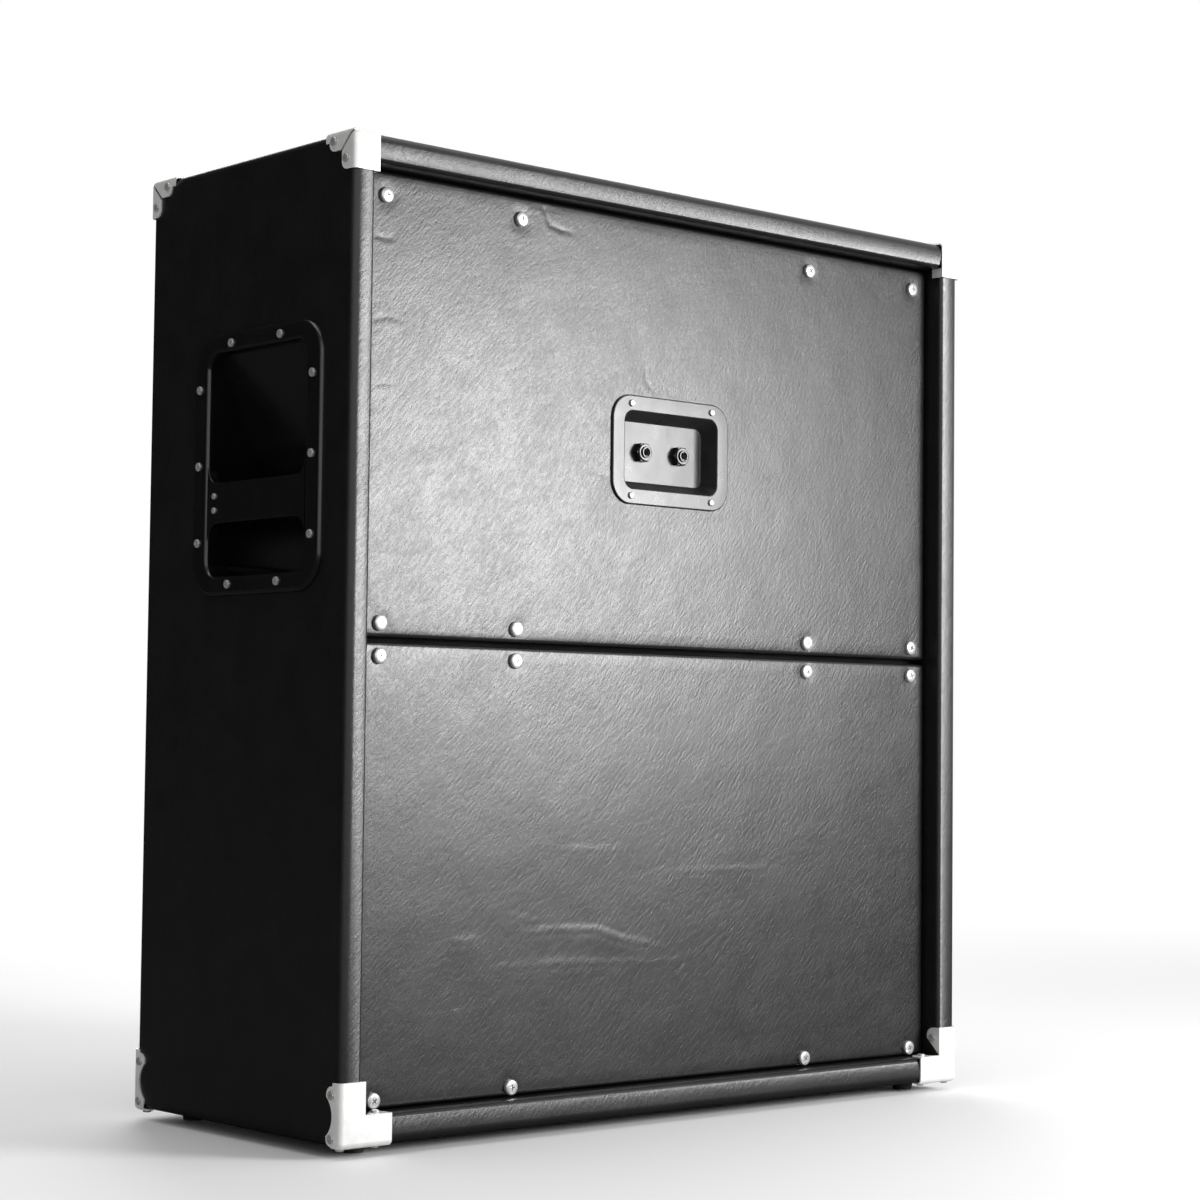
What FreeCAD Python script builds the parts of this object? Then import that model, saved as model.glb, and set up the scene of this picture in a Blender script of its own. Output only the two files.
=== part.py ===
"""Closed-back guitar speaker cabinet with two drivers, as a parametric document of separate pieces.

Millimetres. X runs across the cabinet, Y from front to back, Z up. The origin is on the floor, under the
middle of the box, and the rubber feet stand on it.
"""
import FreeCAD, Part
import math
import os

import Sketcher

doc = FreeCAD.newDocument("speaker_cabinet")
sheet = doc.addObject("Spreadsheet::Sheet", "Sizes")

SIZES = {
    # The box over its covering, and what it is made of.
    "width": 666.0,
    "depth": 273.0,
    "height": 737.0,
    "foot_height": 8.5,
    "vinyl": 1.2,
    "board": 19.0,
    "edge_radius": 5.0,
    "rim_radius": 7.0,
    "board_fit": 0.3,
    # Back panels, set into the back of the box, and the cleats that they are screwed to.
    "back_recess": 18.0,
    "panel_board": 12.0,
    "panel_vinyl": 1.0,
    "panel_gap": 1.5,
    "panel_rounding": 3.0,
    "split_drop": 2.5,
    "split_gap": 4.0,
    "cleat_width": 32.0,
    "cleat_depth": 15.0,
    "batten_width": 60.0,
    "panel_screw_margin": 19.6,
    "panel_screw_pitch": 130.5,
    "top_row_margin": 18.0,
    "split_row_margin": 10.2,
    "bottom_row_margin": 6.2,
    # Wood screws: head radius, head height, shank radius and length, and the play round a shank.
    "panel_head": 6.0,
    "panel_head_height": 3.2,
    "panel_shank": 2.1,
    "panel_screw_length": 26.0,
    "trim_head": 3.3,
    "trim_head_height": 1.9,
    "trim_shank": 1.6,
    "trim_screw_length": 15.0,
    "shank_play": 0.1,
    # Jack dish in the upper back panel, and its two jacks.
    "dish_drop": 14.5,
    "dish_width": 128.0,
    "dish_height": 88.0,
    "dish_corner": 19.0,
    "dish_flange": 2.4,
    "dish_border": 12.7,
    "dish_opening_corner": 9.0,
    "dish_depth": 15.0,
    "dish_draft_across": 5.0,
    "dish_draft_up": 6.0,
    "dish_wall": 2.5,
    "dish_screw_from_end": 19.8,
    "dish_screw_from_edge": 6.9,
    "dish_fit": 0.5,
    "jack_spacing": 41.2,
    "jack_bush": 4.75,
    "jack_bore": 3.25,
    "jack_reach": 8.0,
    "jack_nut": 8.4,
    "jack_nut_height": 6.5,
    "jack_case": 22.0,
    "jack_case_depth": 29.0,
    # Recessed bar handle, one in each side.
    "handle_drop": 235.0,
    "flange_border_across": 19.5,
    "flange_border_up": 15.5,
    "handle_corner": 28.0,
    "handle_flange": 4.0,
    "handle_rounding": 3.0,
    "cup_back_clearance": 3.0,
    "cup_front_clearance": 26.0,
    "cup_height": 172.0,
    "cup_corner": 14.0,
    "cup_wall": 3.0,
    "cup_depth": 62.0,
    "cup_lip": 6.0,
    "cup_floor": 52.0,
    "cup_fit": 0.5,
    "bar_height": 31.0,
    "bar_drop": 29.5,
    "bar_thickness": 9.0,
    "bar_recess": 1.5,
    "bar_rounding": 4.0,
    "bar_ledge": 12.8,
    "bar_fit": 0.3,
    "bar_screw_spacing": 11.0,
    "bar_screw_inset": 10.5,
    "bar_screw_length": 10.0,
    "handle_screw_margin": 9.7,
    "handle_screw_up": 59.5,
    "handle_row_across": 32.6,
    "handle_row_margin": 8.9,
    # Metal corners. Bottom corners have an L face and waisted flanges, top corners a strip with two mitred
    # side lips and a tab on the top.
    "metal": 1.2,
    "bend": 3.5,
    "leg_length": 46.5,
    "waist": 7.0,
    "lobe_reach": 14.5,
    "lobe_radius": 6.5,
    "flange_length": 44.0,
    "hollow_radius": 17.5,
    "hollow_from_back": 25.0,
    "lip_depth": 14.5,
    "lip_height": 23.5,
    "lip_rounding": 7.0,
    "lip_screw_depth": 7.0,
    "lip_screw_height": 14.5,
    "strip_drop": 29.0,
    "strip_run": 34.0,
    "tab_reach": 14.0,
    "tab_start": 3.0,
    "tab_rounding": 4.0,
    "inner_lip": 11.0,
    "side_lip": 14.0,
    "side_lip_run": 29.5,
    "side_lip_rounding": 6.0,
    "mitre_gap": 2.0,
    "top_lip_screw_along": 24.0,
    "top_lip_screw_in": 6.5,
    "down_lip_screw_along": 21.0,
    "down_lip_screw_in": 8.5,
    # Rubber feet under the bottom board.
    "foot_radius": 10.0,
    "foot_tip_radius": 8.0,
    "foot_bore": 4.2,
    "foot_web": 3.0,
    "foot_from_side": 35.0,
    "foot_from_rim": 31.0,
    # Grille in the front of the box, on pads on the baffle.
    "grille_recess": 8.0,
    "grille_gap": 2.0,
    "cloth": 1.0,
    "grille_board": 12.0,
    "grille_rail": 45.0,
    "grille_pad": 3.0,
    "pad_length": 50.0,
    "pad_width": 25.0,
    # Baffle and its cleats.
    "baffle": 18.0,
    "baffle_cleat": 20.0,
    # Drivers: their clearance from the cleats, then the cutout's radius, how far the pieces of a driver lie
    # outside or inside one another, and depths behind the baffle.
    "driver_clearance": 1.0,
    "cutout_radius": 141.5,
    "frame_lap": 13.0,
    "bolt_lap": 7.0,
    "bolt_radius": 2.5,
    "bolt_head": 4.5,
    "bolt_head_height": 4.0,
    "gasket": 3.0,
    "gasket_set_back": 1.0,
    "sheet_steel": 2.0,
    "mouth_lap": 0.5,
    "frame_overhang": 4.5,
    "shoulder_depth": 16.0,
    "ledge_depth": 60.0,
    "basket_taper": 42.0,
    "ledge_width": 30.0,
    "floor_depth": 78.0,
    "floor_inner": 30.0,
    "window_from_ledge": 6.0,
    "window_from_mouth": 10.0,
    "window_half_angle": 21.0,
    "plate_lap": 5.0,
    "plate": 8.0,
    "magnet_lap": 3.0,
    "magnet_inner": 45.0,
    "magnet_depth": 18.0,
    "gap_radius": 26.9,
    "pole_radius": 24.8,
    "vent_radius": 9.0,
    "former_radius": 25.4,
    "former_wall": 0.35,
    "winding_wall": 0.5,
    "winding_height": 14.0,
    "neck_depth": 50.0,
    "surround_width": 22.5,
    "cone_edge_depth": 6.0,
    "cone_wall": 0.9,
    "cap_radius": 38.0,
    "cap_rise": 12.0,
    "cap_wall": 0.7,
    "running_gap": 0.5,
    "surround_wall": 0.8,
    "surround_rise": 4.0,
    "surround_seat": 4.0,
    "spider_wall": 0.6,
    "spider_rise": 2.0,
    "spider_lap": 8.0,
    "tag_board": 28.0,
    "tag_board_height": 14.0,
    "tag_board_wall": 3.0,
    "tag_length": 9.0,
    "tag_wall": 0.8,
    "tag_height": 6.0,
    "lead_radius": 1.8,
    "lead_exit": 16.0,
}

for row, (alias, amount) in enumerate(SIZES.items(), start=1):
    sheet.set("A%d" % row, alias)
    sheet.set("B%d" % row, str(amount))
    sheet.setAlias("B%d" % row, alias)
doc.recompute()


# Two places closer than this count as one, and a cut that takes away less than this has missed.
NEAR = 1e-4
LEAST_CUT = 1.0


class Size:
    """A length with its formula: a cell of the sheet, or one worked out from cells."""

    def __init__(self, formula, number):
        self.formula = formula
        self.number = number

    def __add__(self, other):
        other = as_size(other)
        return Size("(%s + %s)" % (self.formula, other.formula), self.number + other.number)

    def __sub__(self, other):
        other = as_size(other)
        return Size("(%s - %s)" % (self.formula, other.formula), self.number - other.number)

    def __mul__(self, other):
        other = as_size(other)
        return Size("(%s * %s)" % (self.formula, other.formula), self.number * other.number)

    def __truediv__(self, other):
        other = as_size(other)
        return Size("(%s / %s)" % (self.formula, other.formula), self.number / other.number)

    def __neg__(self):
        return Size("(0 - %s)" % self.formula, -self.number)

    __radd__ = __add__
    __rmul__ = __mul__

    def __rsub__(self, other):
        return as_size(other) - self


def as_size(value):
    """A plain number as a Size; a Size as it is."""
    if isinstance(value, Size):
        return value
    return Size("(%r)" % float(value), float(value))


class Cells:
    """The sheet's cells by name, each as a Size."""

    def __getattr__(self, alias):
        return Size("Sizes." + alias, float(sheet.get(alias)))


cell = Cells()
nodes = {}


def vector(x, y, z):
    """A point from three lengths."""
    return FreeCAD.Vector(as_size(x).number, as_size(y).number, as_size(z).number)


def bind(thing, **lengths):
    """Ties properties of a document object to formulas on the sheet."""
    for name, value in lengths.items():
        thing.setExpression(name, as_size(value).formula)
    return thing


def place(thing, x=0, y=0, z=0):
    """Ties the place of a document object to formulas on the sheet."""
    for axis, value in zip("xyz", (x, y, z)):
        thing.setExpression("Placement.Base." + axis, as_size(value).formula)
    return thing


def node(label, thing):
    """Names a finished sub-part and puts it on the list to write."""
    thing.Label = label
    nodes[label] = thing
    return thing


def block(name, low, high):
    """A rectangular block between two corners."""
    box = doc.addObject("Part::Box", name)
    sides = [as_size(top) - bottom for bottom, top in zip(low, high)]
    bind(box, Length=sides[0], Width=sides[1], Height=sides[2])
    return place(box, *low)


AXIS_TURN = {
    "x": FreeCAD.Rotation(FreeCAD.Vector(0, 1, 0), 90),
    "y": FreeCAD.Rotation(FreeCAD.Vector(1, 0, 0), -90),
    "z": FreeCAD.Rotation(),
}


def rod(name, axis, radius, length, start):
    """A round rod along an axis, from the middle of its first end."""
    cylinder = doc.addObject("Part::Cylinder", name)
    cylinder.Placement = FreeCAD.Placement(FreeCAD.Vector(), AXIS_TURN[axis])
    bind(cylinder, Radius=radius, Height=length)
    return place(cylinder, *start)


def hexagon_rod(name, radius, length, start):
    """A six-sided rod along Y, its radius measured to the corners."""
    prism = doc.addObject("Part::Prism", name)
    prism.Polygon = 6
    prism.Placement = FreeCAD.Placement(FreeCAD.Vector(), AXIS_TURN["y"])
    bind(prism, Circumradius=radius, Height=length)
    return place(prism, *start)


def drafted(name, width, height, draft_across, draft_up, depth, length):
    """A block along Y that has the given width and height at a depth, drafts in below it and goes on above."""
    wedge = doc.addObject("Part::Wedge", name)
    across, up = width / 2 - draft_across, height / 2 - draft_up
    far_across = across + draft_across * length / depth
    far_up = up + draft_up * length / depth
    bind(wedge, Xmin=-across, Xmax=across, Zmin=-up, Zmax=up, Ymin=no_skin, Ymax=length,
         X2min=-far_across, X2max=far_across, Z2min=-far_up, Z2max=far_up)
    return wedge


def fuse(name, *pieces):
    """Several shapes as one."""
    fused = doc.addObject("Part::MultiFuse", name)
    fused.Shapes = list(pieces)
    return fused


def cut(name, base, *tools):
    """A shape less the others."""
    result = doc.addObject("Part::Cut", name)
    result.Base = base
    result.Tool = tools[0] if len(tools) == 1 else fuse(name + "_tools", *tools)
    return result


def common(name, first, second):
    """What two shapes share."""
    result = doc.addObject("Part::Common", name)
    result.Base = first
    result.Tool = second
    return result


def mirror(name, source, normal):
    """The mirror image of a shape across a plane through the origin."""
    image = doc.addObject("Part::Mirroring", name)
    image.Source = source
    image.Base = FreeCAD.Vector()
    image.Normal = normal
    return image


def group(name, shapes):
    """Separate solids kept together as one document object."""
    feature = doc.addObject("Part::Feature", name)
    feature.Shape = Part.makeCompound(shapes)
    feature.Placement = FreeCAD.Placement()
    return feature


# Each direction of a pad: the plane that its sketch lies on, and whether the pad runs against that plane.
PAD_PLANE = {"x": ("YZ_Plane", False), "y": ("XZ_Plane", True), "z": ("XY_Plane", False)}


def new_sketch(body, role):
    """A sketch on one of a body's own origin planes."""
    plane = next(item for item in body.Origin.OriginFeatures if item.Role == role)
    sketch = body.newObject("Sketcher::SketchObject", body.Name + "_sketch")
    sketch.AttachmentSupport = [(plane, "")]
    sketch.MapMode = "FlatFace"
    return sketch


def draw_outline(sketch, corners):
    """A closed outline of straight lines, each corner held at its two distances from the origin."""
    points = [vector(across, up, 0) for across, up in corners]
    for index, point in enumerate(points):
        sketch.addGeometry(Part.LineSegment(point, points[(index + 1) % len(points)]))
    for index in range(len(points)):
        following = (index + 1) % len(points)
        sketch.addConstraint(Sketcher.Constraint("Coincident", index, 2, following, 1))
    for index, corner in enumerate(corners):
        for kind, length in zip(("DistanceX", "DistanceY"), corner):
            length = as_size(length)
            number = sketch.addConstraint(Sketcher.Constraint(kind, -1, 1, index, 1, length.number))
            constraint = "%s_%d" % (kind, index)
            sketch.renameConstraint(number, constraint)
            sketch.setExpression("Constraints." + constraint, length.formula)


def rectangle(width, height):
    """The corners of a rectangle round the origin."""
    across = as_size(width) / 2
    up = as_size(height) / 2
    return [(-across, -up), (across, -up), (across, up), (-across, up)]


def pad(name, axis, corners, length):
    """A body padded from an outline along an axis, starting at the outline's plane."""
    body = doc.addObject("PartDesign::Body", name)
    role, against = PAD_PLANE[axis]
    sketch = new_sketch(body, role)
    draw_outline(sketch, corners)
    feature = body.newObject("PartDesign::Pad", name + "_pad")
    feature.Profile = sketch
    feature.Reversed = against
    bind(feature, Length=length)
    doc.recompute()
    return body


def round_edges(body, radius, wanted):
    """Rounds those edges of a body that a test picks out."""
    base = body.Tip
    edges = [number for number, edge in enumerate(base.Shape.Edges, start=1) if wanted(edge)]
    fillet = body.newObject("PartDesign::Fillet", body.Name + "_fillet")
    fillet.Base = (base, ["Edge%d" % number for number in edges])
    bind(fillet, Radius=radius)
    doc.recompute()
    return body


def edge_along(axis):
    """A test for straight edges along an axis."""
    index = "xyz".index(axis)

    def wanted(edge):
        first, last = edge.Vertexes[0].Point, edge.Vertexes[-1].Point
        return abs((last - first)[index]) > edge.Length - NEAR
    return wanted


def edge_at(axis, level):
    """A test for edges that lie wholly at one level along an axis."""
    index = "xyz".index(axis)
    height = as_size(level).number

    def wanted(edge):
        bounds = edge.BoundBox
        low = (bounds.XMin, bounds.YMin, bounds.ZMin)[index]
        high = (bounds.XMax, bounds.YMax, bounds.ZMax)[index]
        return abs(low - height) < NEAR and abs(high - height) < NEAR
    return wanted


def edges_at_corners(axes, *corners):
    """A test for the edges that stand on some corners of a padded outline."""
    spots = [[as_size(length).number for length in corner] for corner in corners]

    def wanted(edge):
        centre = [edge.CenterOfMass["xyz".index(axis)] for axis in axes]
        return any(max(abs(here - there) for here, there in zip(centre, spot)) < NEAR for spot in spots)
    return wanted


def rounded_prism(name, axis, width, height, corner, length):
    """A body with a rectangular section of rounded corners, padded along an axis."""
    body = pad(name, axis, rectangle(width, height), length)
    return round_edges(body, corner, edge_along(axis))


def turned(name, corners):
    """A body turned about the Y axis from an outline of radii and depths."""
    body = doc.addObject("PartDesign::Body", name)
    sketch = new_sketch(body, "XY_Plane")
    draw_outline(sketch, corners)
    feature = body.newObject("PartDesign::Revolution", name + "_turned")
    feature.Profile = sketch
    feature.ReferenceAxis = (sketch, ["V_Axis"])
    feature.Angle = 360
    doc.recompute()
    return body


def screw(name, head, head_height, shank, length):
    """A dome-headed screw along Z: the underside of its head is at the origin, its shank points down."""
    sphere_radius = (head * head + head_height * head_height) / (head_height * 2)
    ball = doc.addObject("Part::Sphere", name + "_ball")
    bind(ball, Radius=sphere_radius)
    place(ball, z=head_height - sphere_radius)
    rim = rod(name + "_rim", "z", head, head_height * 2, (0, 0, 0))
    dome = common(name + "_dome", ball, rim)
    return fuse(name, dome, rod(name + "_shank", "z", shank, length + head_height / 2, (0, 0, -length)))


def set_screws(template, seats):
    """Copies of a screw's shape, each with its head on a seat: a point and the way that the head faces."""
    copies = []
    for point, facing in seats:
        shape = template.Shape.copy()
        shape.Placement = FreeCAD.Placement(point, FreeCAD.Rotation(FreeCAD.Vector(0, 0, 1), facing))
        copies.append(shape)
    return copies


def shank_holes(name, seats, shank, length):
    """The holes that those screws need, with play round each shank, as one tool to cut with."""
    radius = (shank + cell.shank_play).number
    depth = (length + cell.shank_play).number
    holes = [Part.makeCylinder(radius, depth + radius, point + facing * radius, facing * -1)
             for point, facing in seats]
    return group(name, holes)


X, Y, Z = FreeCAD.Vector(1, 0, 0), FreeCAD.Vector(0, 1, 0), FreeCAD.Vector(0, 0, 1)

# Places that many pieces share: box faces, inner faces of the boards and of the covering.
half_width = cell.width / 2
half_depth = cell.depth / 2
underside = cell.foot_height
top_side = cell.foot_height + cell.height
middle_level = cell.foot_height + cell.height / 2
wall = cell.vinyl * 2 + cell.board
board_inner = cell.vinyl + cell.board
inner_width = cell.width - board_inner * 2
inner_height = cell.height - board_inner * 2
panel_face = half_depth - cell.back_recess
panel_back = panel_face - cell.panel_vinyl - cell.panel_board
baffle_face = cell.grille_recess + cell.cloth + cell.grille_board + cell.grille_pad - half_depth
baffle_back = baffle_face + cell.baffle

# Seats of every wood screw, as points and facings.
panel_low = underside + wall + cell.panel_gap
panel_high = top_side - wall - cell.panel_gap
split_level = middle_level - cell.split_drop
split_low = split_level - cell.split_gap / 2
split_high = split_level + cell.split_gap / 2
upper_rows = (panel_high - cell.top_row_margin, split_high + cell.split_row_margin)
lower_rows = (split_low - cell.split_row_margin, panel_low + cell.bottom_row_margin)
panel_width = cell.width - (wall + cell.panel_gap) * 2
outer_column = panel_width / 2 - cell.panel_screw_margin
inner_column = outer_column - cell.panel_screw_pitch
panel_columns = (outer_column, inner_column, -inner_column, -outer_column)
panel_seats = [(vector(x, panel_face, z), Y) for z in upper_rows + lower_rows for x in panel_columns]

dish_level = (split_high + panel_high) / 2 - cell.dish_drop
dish_face = panel_face + cell.dish_flange
dish_column = cell.dish_width / 2 - cell.dish_screw_from_end
dish_row = cell.dish_height / 2 - cell.dish_screw_from_edge
dish_seats = [(vector(dish_column * x, dish_face, dish_level + dish_row * z), Y)
              for x in (1, -1) for z in (1, -1)]

# The handle cups fit between the cleats of the back panels and those of the baffle.
cleat_face = panel_back - cell.cleat_depth
rail_back = baffle_back + cell.baffle_cleat
cup_back = cleat_face - cell.cup_back_clearance - cell.cup_wall
cup_width = cup_back - rail_back - cell.cup_front_clearance - cell.cup_wall
handle_y = cup_back - cup_width / 2
handle_level = top_side - cell.handle_drop
handle_face = half_width + cell.handle_flange
handle_width = cup_width + cell.flange_border_across * 2
handle_height = cell.cup_height + cell.flange_border_up * 2
handle_column = handle_width / 2 - cell.handle_screw_margin
handle_row = handle_height / 2 - cell.handle_row_margin
handle_spots = [(handle_column * y, cell.handle_screw_up * z) for y in (1, -1) for z in (1, 0, -1)]
handle_spots += [(cell.handle_row_across * y, handle_row * z) for y in (1, -1) for z in (1, -1)]
handle_seats = [(vector(handle_face, handle_y + y, handle_level + z), X) for y, z in handle_spots]

foot_x = half_width - cell.foot_from_side
foot_y = half_depth - cell.foot_from_rim
foot_seats = [(vector(foot_x * x, foot_y * y, cell.foot_height - cell.foot_web), -Z)
              for x in (1, -1) for y in (1, -1)]

lip_level = underside + wall + cell.metal
metal_side = half_width + cell.metal
lobe_y = half_depth - cell.lobe_reach + cell.lobe_radius
lobe_reaches = (cell.lobe_radius, cell.flange_length - cell.lobe_radius)
bottom_corner_seats = [(vector(metal_side, lobe_y, underside + z), X) for z in lobe_reaches]
bottom_corner_seats += [(vector(half_width - x, lobe_y, underside - cell.metal), -Z) for x in lobe_reaches]
lip_y = half_depth - cell.lip_screw_depth
lip_seats = [
    (vector(half_width - wall - cell.metal, lip_y, lip_level + cell.lip_screw_height), -X),
    (vector(half_width - wall - cell.metal - cell.lip_screw_height, lip_y, lip_level), Z),
]
top_corner_seats = [
    (vector(metal_side, half_depth - cell.top_lip_screw_along, top_side - cell.top_lip_screw_in), X),
    (vector(metal_side, half_depth - cell.down_lip_screw_in, top_side - cell.down_lip_screw_along), X),
]


def reflected(seats, across, along):
    """Seats mirrored left to right, and front to back, where the signs are negative."""
    def turn(item):
        return FreeCAD.Vector(item.x * across, item.y * along, item.z)
    return [(turn(point), turn(facing)) for point, facing in seats]


corner_seats = []
for across in (1, -1):
    for along in (1, -1):
        corner_seats += reflected(bottom_corner_seats + top_corner_seats, across, along)
    corner_seats += reflected(lip_seats, across, 1)

trim = (cell.trim_head, cell.trim_head_height, cell.trim_shank, cell.trim_screw_length)
trim_seats = corner_seats + reflected(handle_seats, 1, 1) + reflected(handle_seats, -1, 1) + foot_seats
panel_holes = shank_holes("panel_holes", panel_seats, cell.panel_shank, cell.panel_screw_length)
dish_holes = shank_holes("dish_holes", dish_seats, cell.trim_shank, cell.trim_screw_length)
trim_holes = shank_holes("trim_holes", trim_seats, cell.trim_shank, cell.trim_screw_length)


# Box: four boards with rounded edges, butt jointed, and the vinyl wrapped over them.
def rounded_tube(name, skin, passage_width, passage_height):
    """The box as a tube open at front and back, some skin smaller than the covering all round."""
    length = cell.depth - skin * 2
    body = pad(name, "y", rectangle(cell.width - skin * 2, cell.height - skin * 2), length)
    round_edges(body, cell.edge_radius - skin, lambda edge: True)
    sketch = new_sketch(body, "XZ_Plane")
    draw_outline(sketch, rectangle(passage_width, passage_height))
    before = body.Shape.Volume
    passage = body.newObject("PartDesign::Pocket", name + "_passage")
    passage.Profile = sketch
    passage.Type = "ThroughAll"
    passage.Midplane = True
    doc.recompute()
    if body.Shape.Volume > before - LEAST_CUT:
        raise RuntimeError(name + ": the passage was not cut")
    across = (passage_width / 2).number + NEAR
    upright = (passage_height / 2).number + NEAR
    at_ends = (edge_at("y", 0), edge_at("y", length))

    def on_rim(edge):
        bounds = edge.BoundBox
        return (any(at_end(edge) for at_end in at_ends)
                and max(-bounds.XMin, bounds.XMax) < across and max(-bounds.ZMin, bounds.ZMax) < upright)
    round_edges(body, cell.rim_radius - skin, on_rim)
    return place(body, 0, skin - half_depth, middle_level)


no_skin = as_size(0)
covered_tube = rounded_tube("covered_tube", no_skin, cell.width - wall * 2, cell.height - wall * 2)
board_tube = rounded_tube("board_tube", cell.vinyl, inner_width, inner_height)

cup_hole_width = cup_width + (cell.cup_wall + cell.cup_fit) * 2
cup_hole_height = cell.cup_height + (cell.cup_wall + cell.cup_fit) * 2
cup_hole = rounded_prism("cup_hole", "x", cup_hole_width, cup_hole_height, cell.cup_corner + cell.cup_wall,
                         wall + cell.metal * 2)
place(cup_hole, half_width - wall - cell.metal, handle_y, handle_level)
cup_hole_left = mirror("cup_hole_left", cup_hole, X)

far_y = half_depth + cell.metal
far_z = top_side + cell.metal
right_region = block("right_region", (half_width - board_inner, -far_y, 0), (half_width, far_y, far_z))
right_blank = common("right_blank", board_tube, right_region)
side_board_right = node("side_board_right", cut("right_board", right_blank, cup_hole, trim_holes))
node("side_board_left", mirror("left_board", side_board_right, X))

inner_half = half_width - board_inner
top_region = block("top_region", (-inner_half, -far_y, middle_level), (inner_half, far_y, far_z))
node("top_board", common("top_blank", board_tube, top_region))
bottom_region = block("bottom_region", (-inner_half, -far_y, 0), (inner_half, far_y, middle_level))
bottom_blank = common("bottom_blank", board_tube, bottom_region)
node("bottom_board", cut("bottom_drilled", bottom_blank, trim_holes))

lining_gap = block("lining_gap", (-inner_half, baffle_face, underside + board_inner),
                   (inner_half, panel_back, top_side - board_inner))
node("vinyl_covering", cut("covering", covered_tube, board_tube, lining_gap, cup_hole, cup_hole_left,
                           trim_holes))


# Back panels: each a board in a vinyl skin that wraps its edges.
opening_width = cell.dish_width - cell.dish_border * 2
opening_height = cell.dish_height - cell.dish_border * 2
dish_hole = rounded_prism("dish_hole", "y", opening_width + (cell.dish_wall + cell.dish_fit) * 2,
                          opening_height + (cell.dish_wall + cell.dish_fit) * 2,
                          cell.dish_opening_corner + cell.dish_wall, cell.panel_board + cell.panel_vinyl * 3)
place(dish_hole, 0, panel_back - cell.panel_vinyl, dish_level)


def back_panel(label, low, high, *holes):
    """A panel between two levels: its board, and the skin over its face and edges."""
    thickness = cell.panel_board + cell.panel_vinyl
    whole = pad(label + "_whole", "y", rectangle(panel_width, high - low), thickness)
    round_edges(whole, cell.panel_rounding, edge_at("y", thickness))
    place(whole, 0, panel_back, (low + high) / 2)
    skin = cell.panel_vinyl
    core = block(label + "_core", (skin - panel_width / 2, panel_back, low + skin),
                 (panel_width / 2 - skin, panel_face - skin, high - skin))
    node(label + "_panel", cut(label + "_board", core, panel_holes, *holes))
    node(label + "_vinyl", cut(label + "_skin", whole, core, panel_holes, *holes))


back_panel("upper_back", split_high, panel_high, dish_hole, dish_holes)
back_panel("lower_back", panel_low, split_low)

panel_screw = screw("panel_screw", cell.panel_head, cell.panel_head_height, cell.panel_shank,
                    cell.panel_screw_length)
trim_screw = screw("trim_screw", *trim)

cleat_reach = inner_half - cell.board_fit
cleat_low = underside + board_inner + cell.board_fit
cleat_high = top_side - board_inner - cell.board_fit
batten_low = split_level - cell.batten_width / 2
batten_high = split_level + cell.batten_width / 2
side_cleat = block("side_cleat", (cleat_reach - cell.cleat_width, cleat_face, cleat_low),
                   (cleat_reach, panel_back, cleat_high))
inner_reach = cleat_reach - cell.cleat_width
top_cleat = block("top_cleat", (-inner_reach, cleat_face, cleat_high - cell.cleat_width),
                  (inner_reach, panel_back, cleat_high))
bottom_cleat = block("bottom_cleat", (-inner_reach, cleat_face, cleat_low),
                     (inner_reach, panel_back, cleat_low + cell.cleat_width))
batten = block("batten", (-inner_reach, cleat_face, batten_low), (inner_reach, panel_back, batten_high))
doc.recompute()
back_frame = doc.addObject("Part::Compound", "back_frame")
back_frame.Links = [side_cleat, mirror("side_cleat_left", side_cleat, X), top_cleat, bottom_cleat, batten]
node("back_cleats", cut("back_frame_drilled", back_frame, panel_holes))


# Jack dish: a flange on the panel, a tray sunk into it, and two jacks in the tray's floor.
dish_flange = rounded_prism("dish_flange", "y", cell.dish_width, cell.dish_height, cell.dish_corner,
                            cell.dish_flange)
round_edges(dish_flange, cell.dish_flange / 2, edge_at("y", cell.dish_flange))
place(dish_flange, 0, panel_face, dish_level)
tray_depth = cell.dish_depth + cell.dish_wall
dish_floor = dish_face - cell.dish_depth
jacket_width = opening_width + cell.dish_wall * 2
jacket_height = opening_height + cell.dish_wall * 2
tray_jacket = rounded_prism("tray_jacket", "y", jacket_width, jacket_height,
                            cell.dish_opening_corner + cell.dish_wall, tray_depth)
place(tray_jacket, 0, dish_floor - cell.dish_wall, dish_level)
tray_outside = drafted("tray_outside", jacket_width, jacket_height, cell.dish_draft_across, cell.dish_draft_up,
                       cell.dish_depth, tray_depth)
place(tray_outside, 0, dish_floor - cell.dish_wall, dish_level)
tray = common("tray", tray_jacket, tray_outside)
space_depth = cell.dish_depth + cell.dish_flange
tray_window = rounded_prism("tray_window", "y", opening_width, opening_height, cell.dish_opening_corner,
                            space_depth)
place(tray_window, 0, dish_floor, dish_level)
tray_inside = drafted("tray_inside", opening_width, opening_height, cell.dish_draft_across, cell.dish_draft_up,
                      cell.dish_depth, space_depth)
place(tray_inside, 0, dish_floor, dish_level)
tray_space = common("tray_space", tray_window, tray_inside)
jack_holes = []
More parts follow.
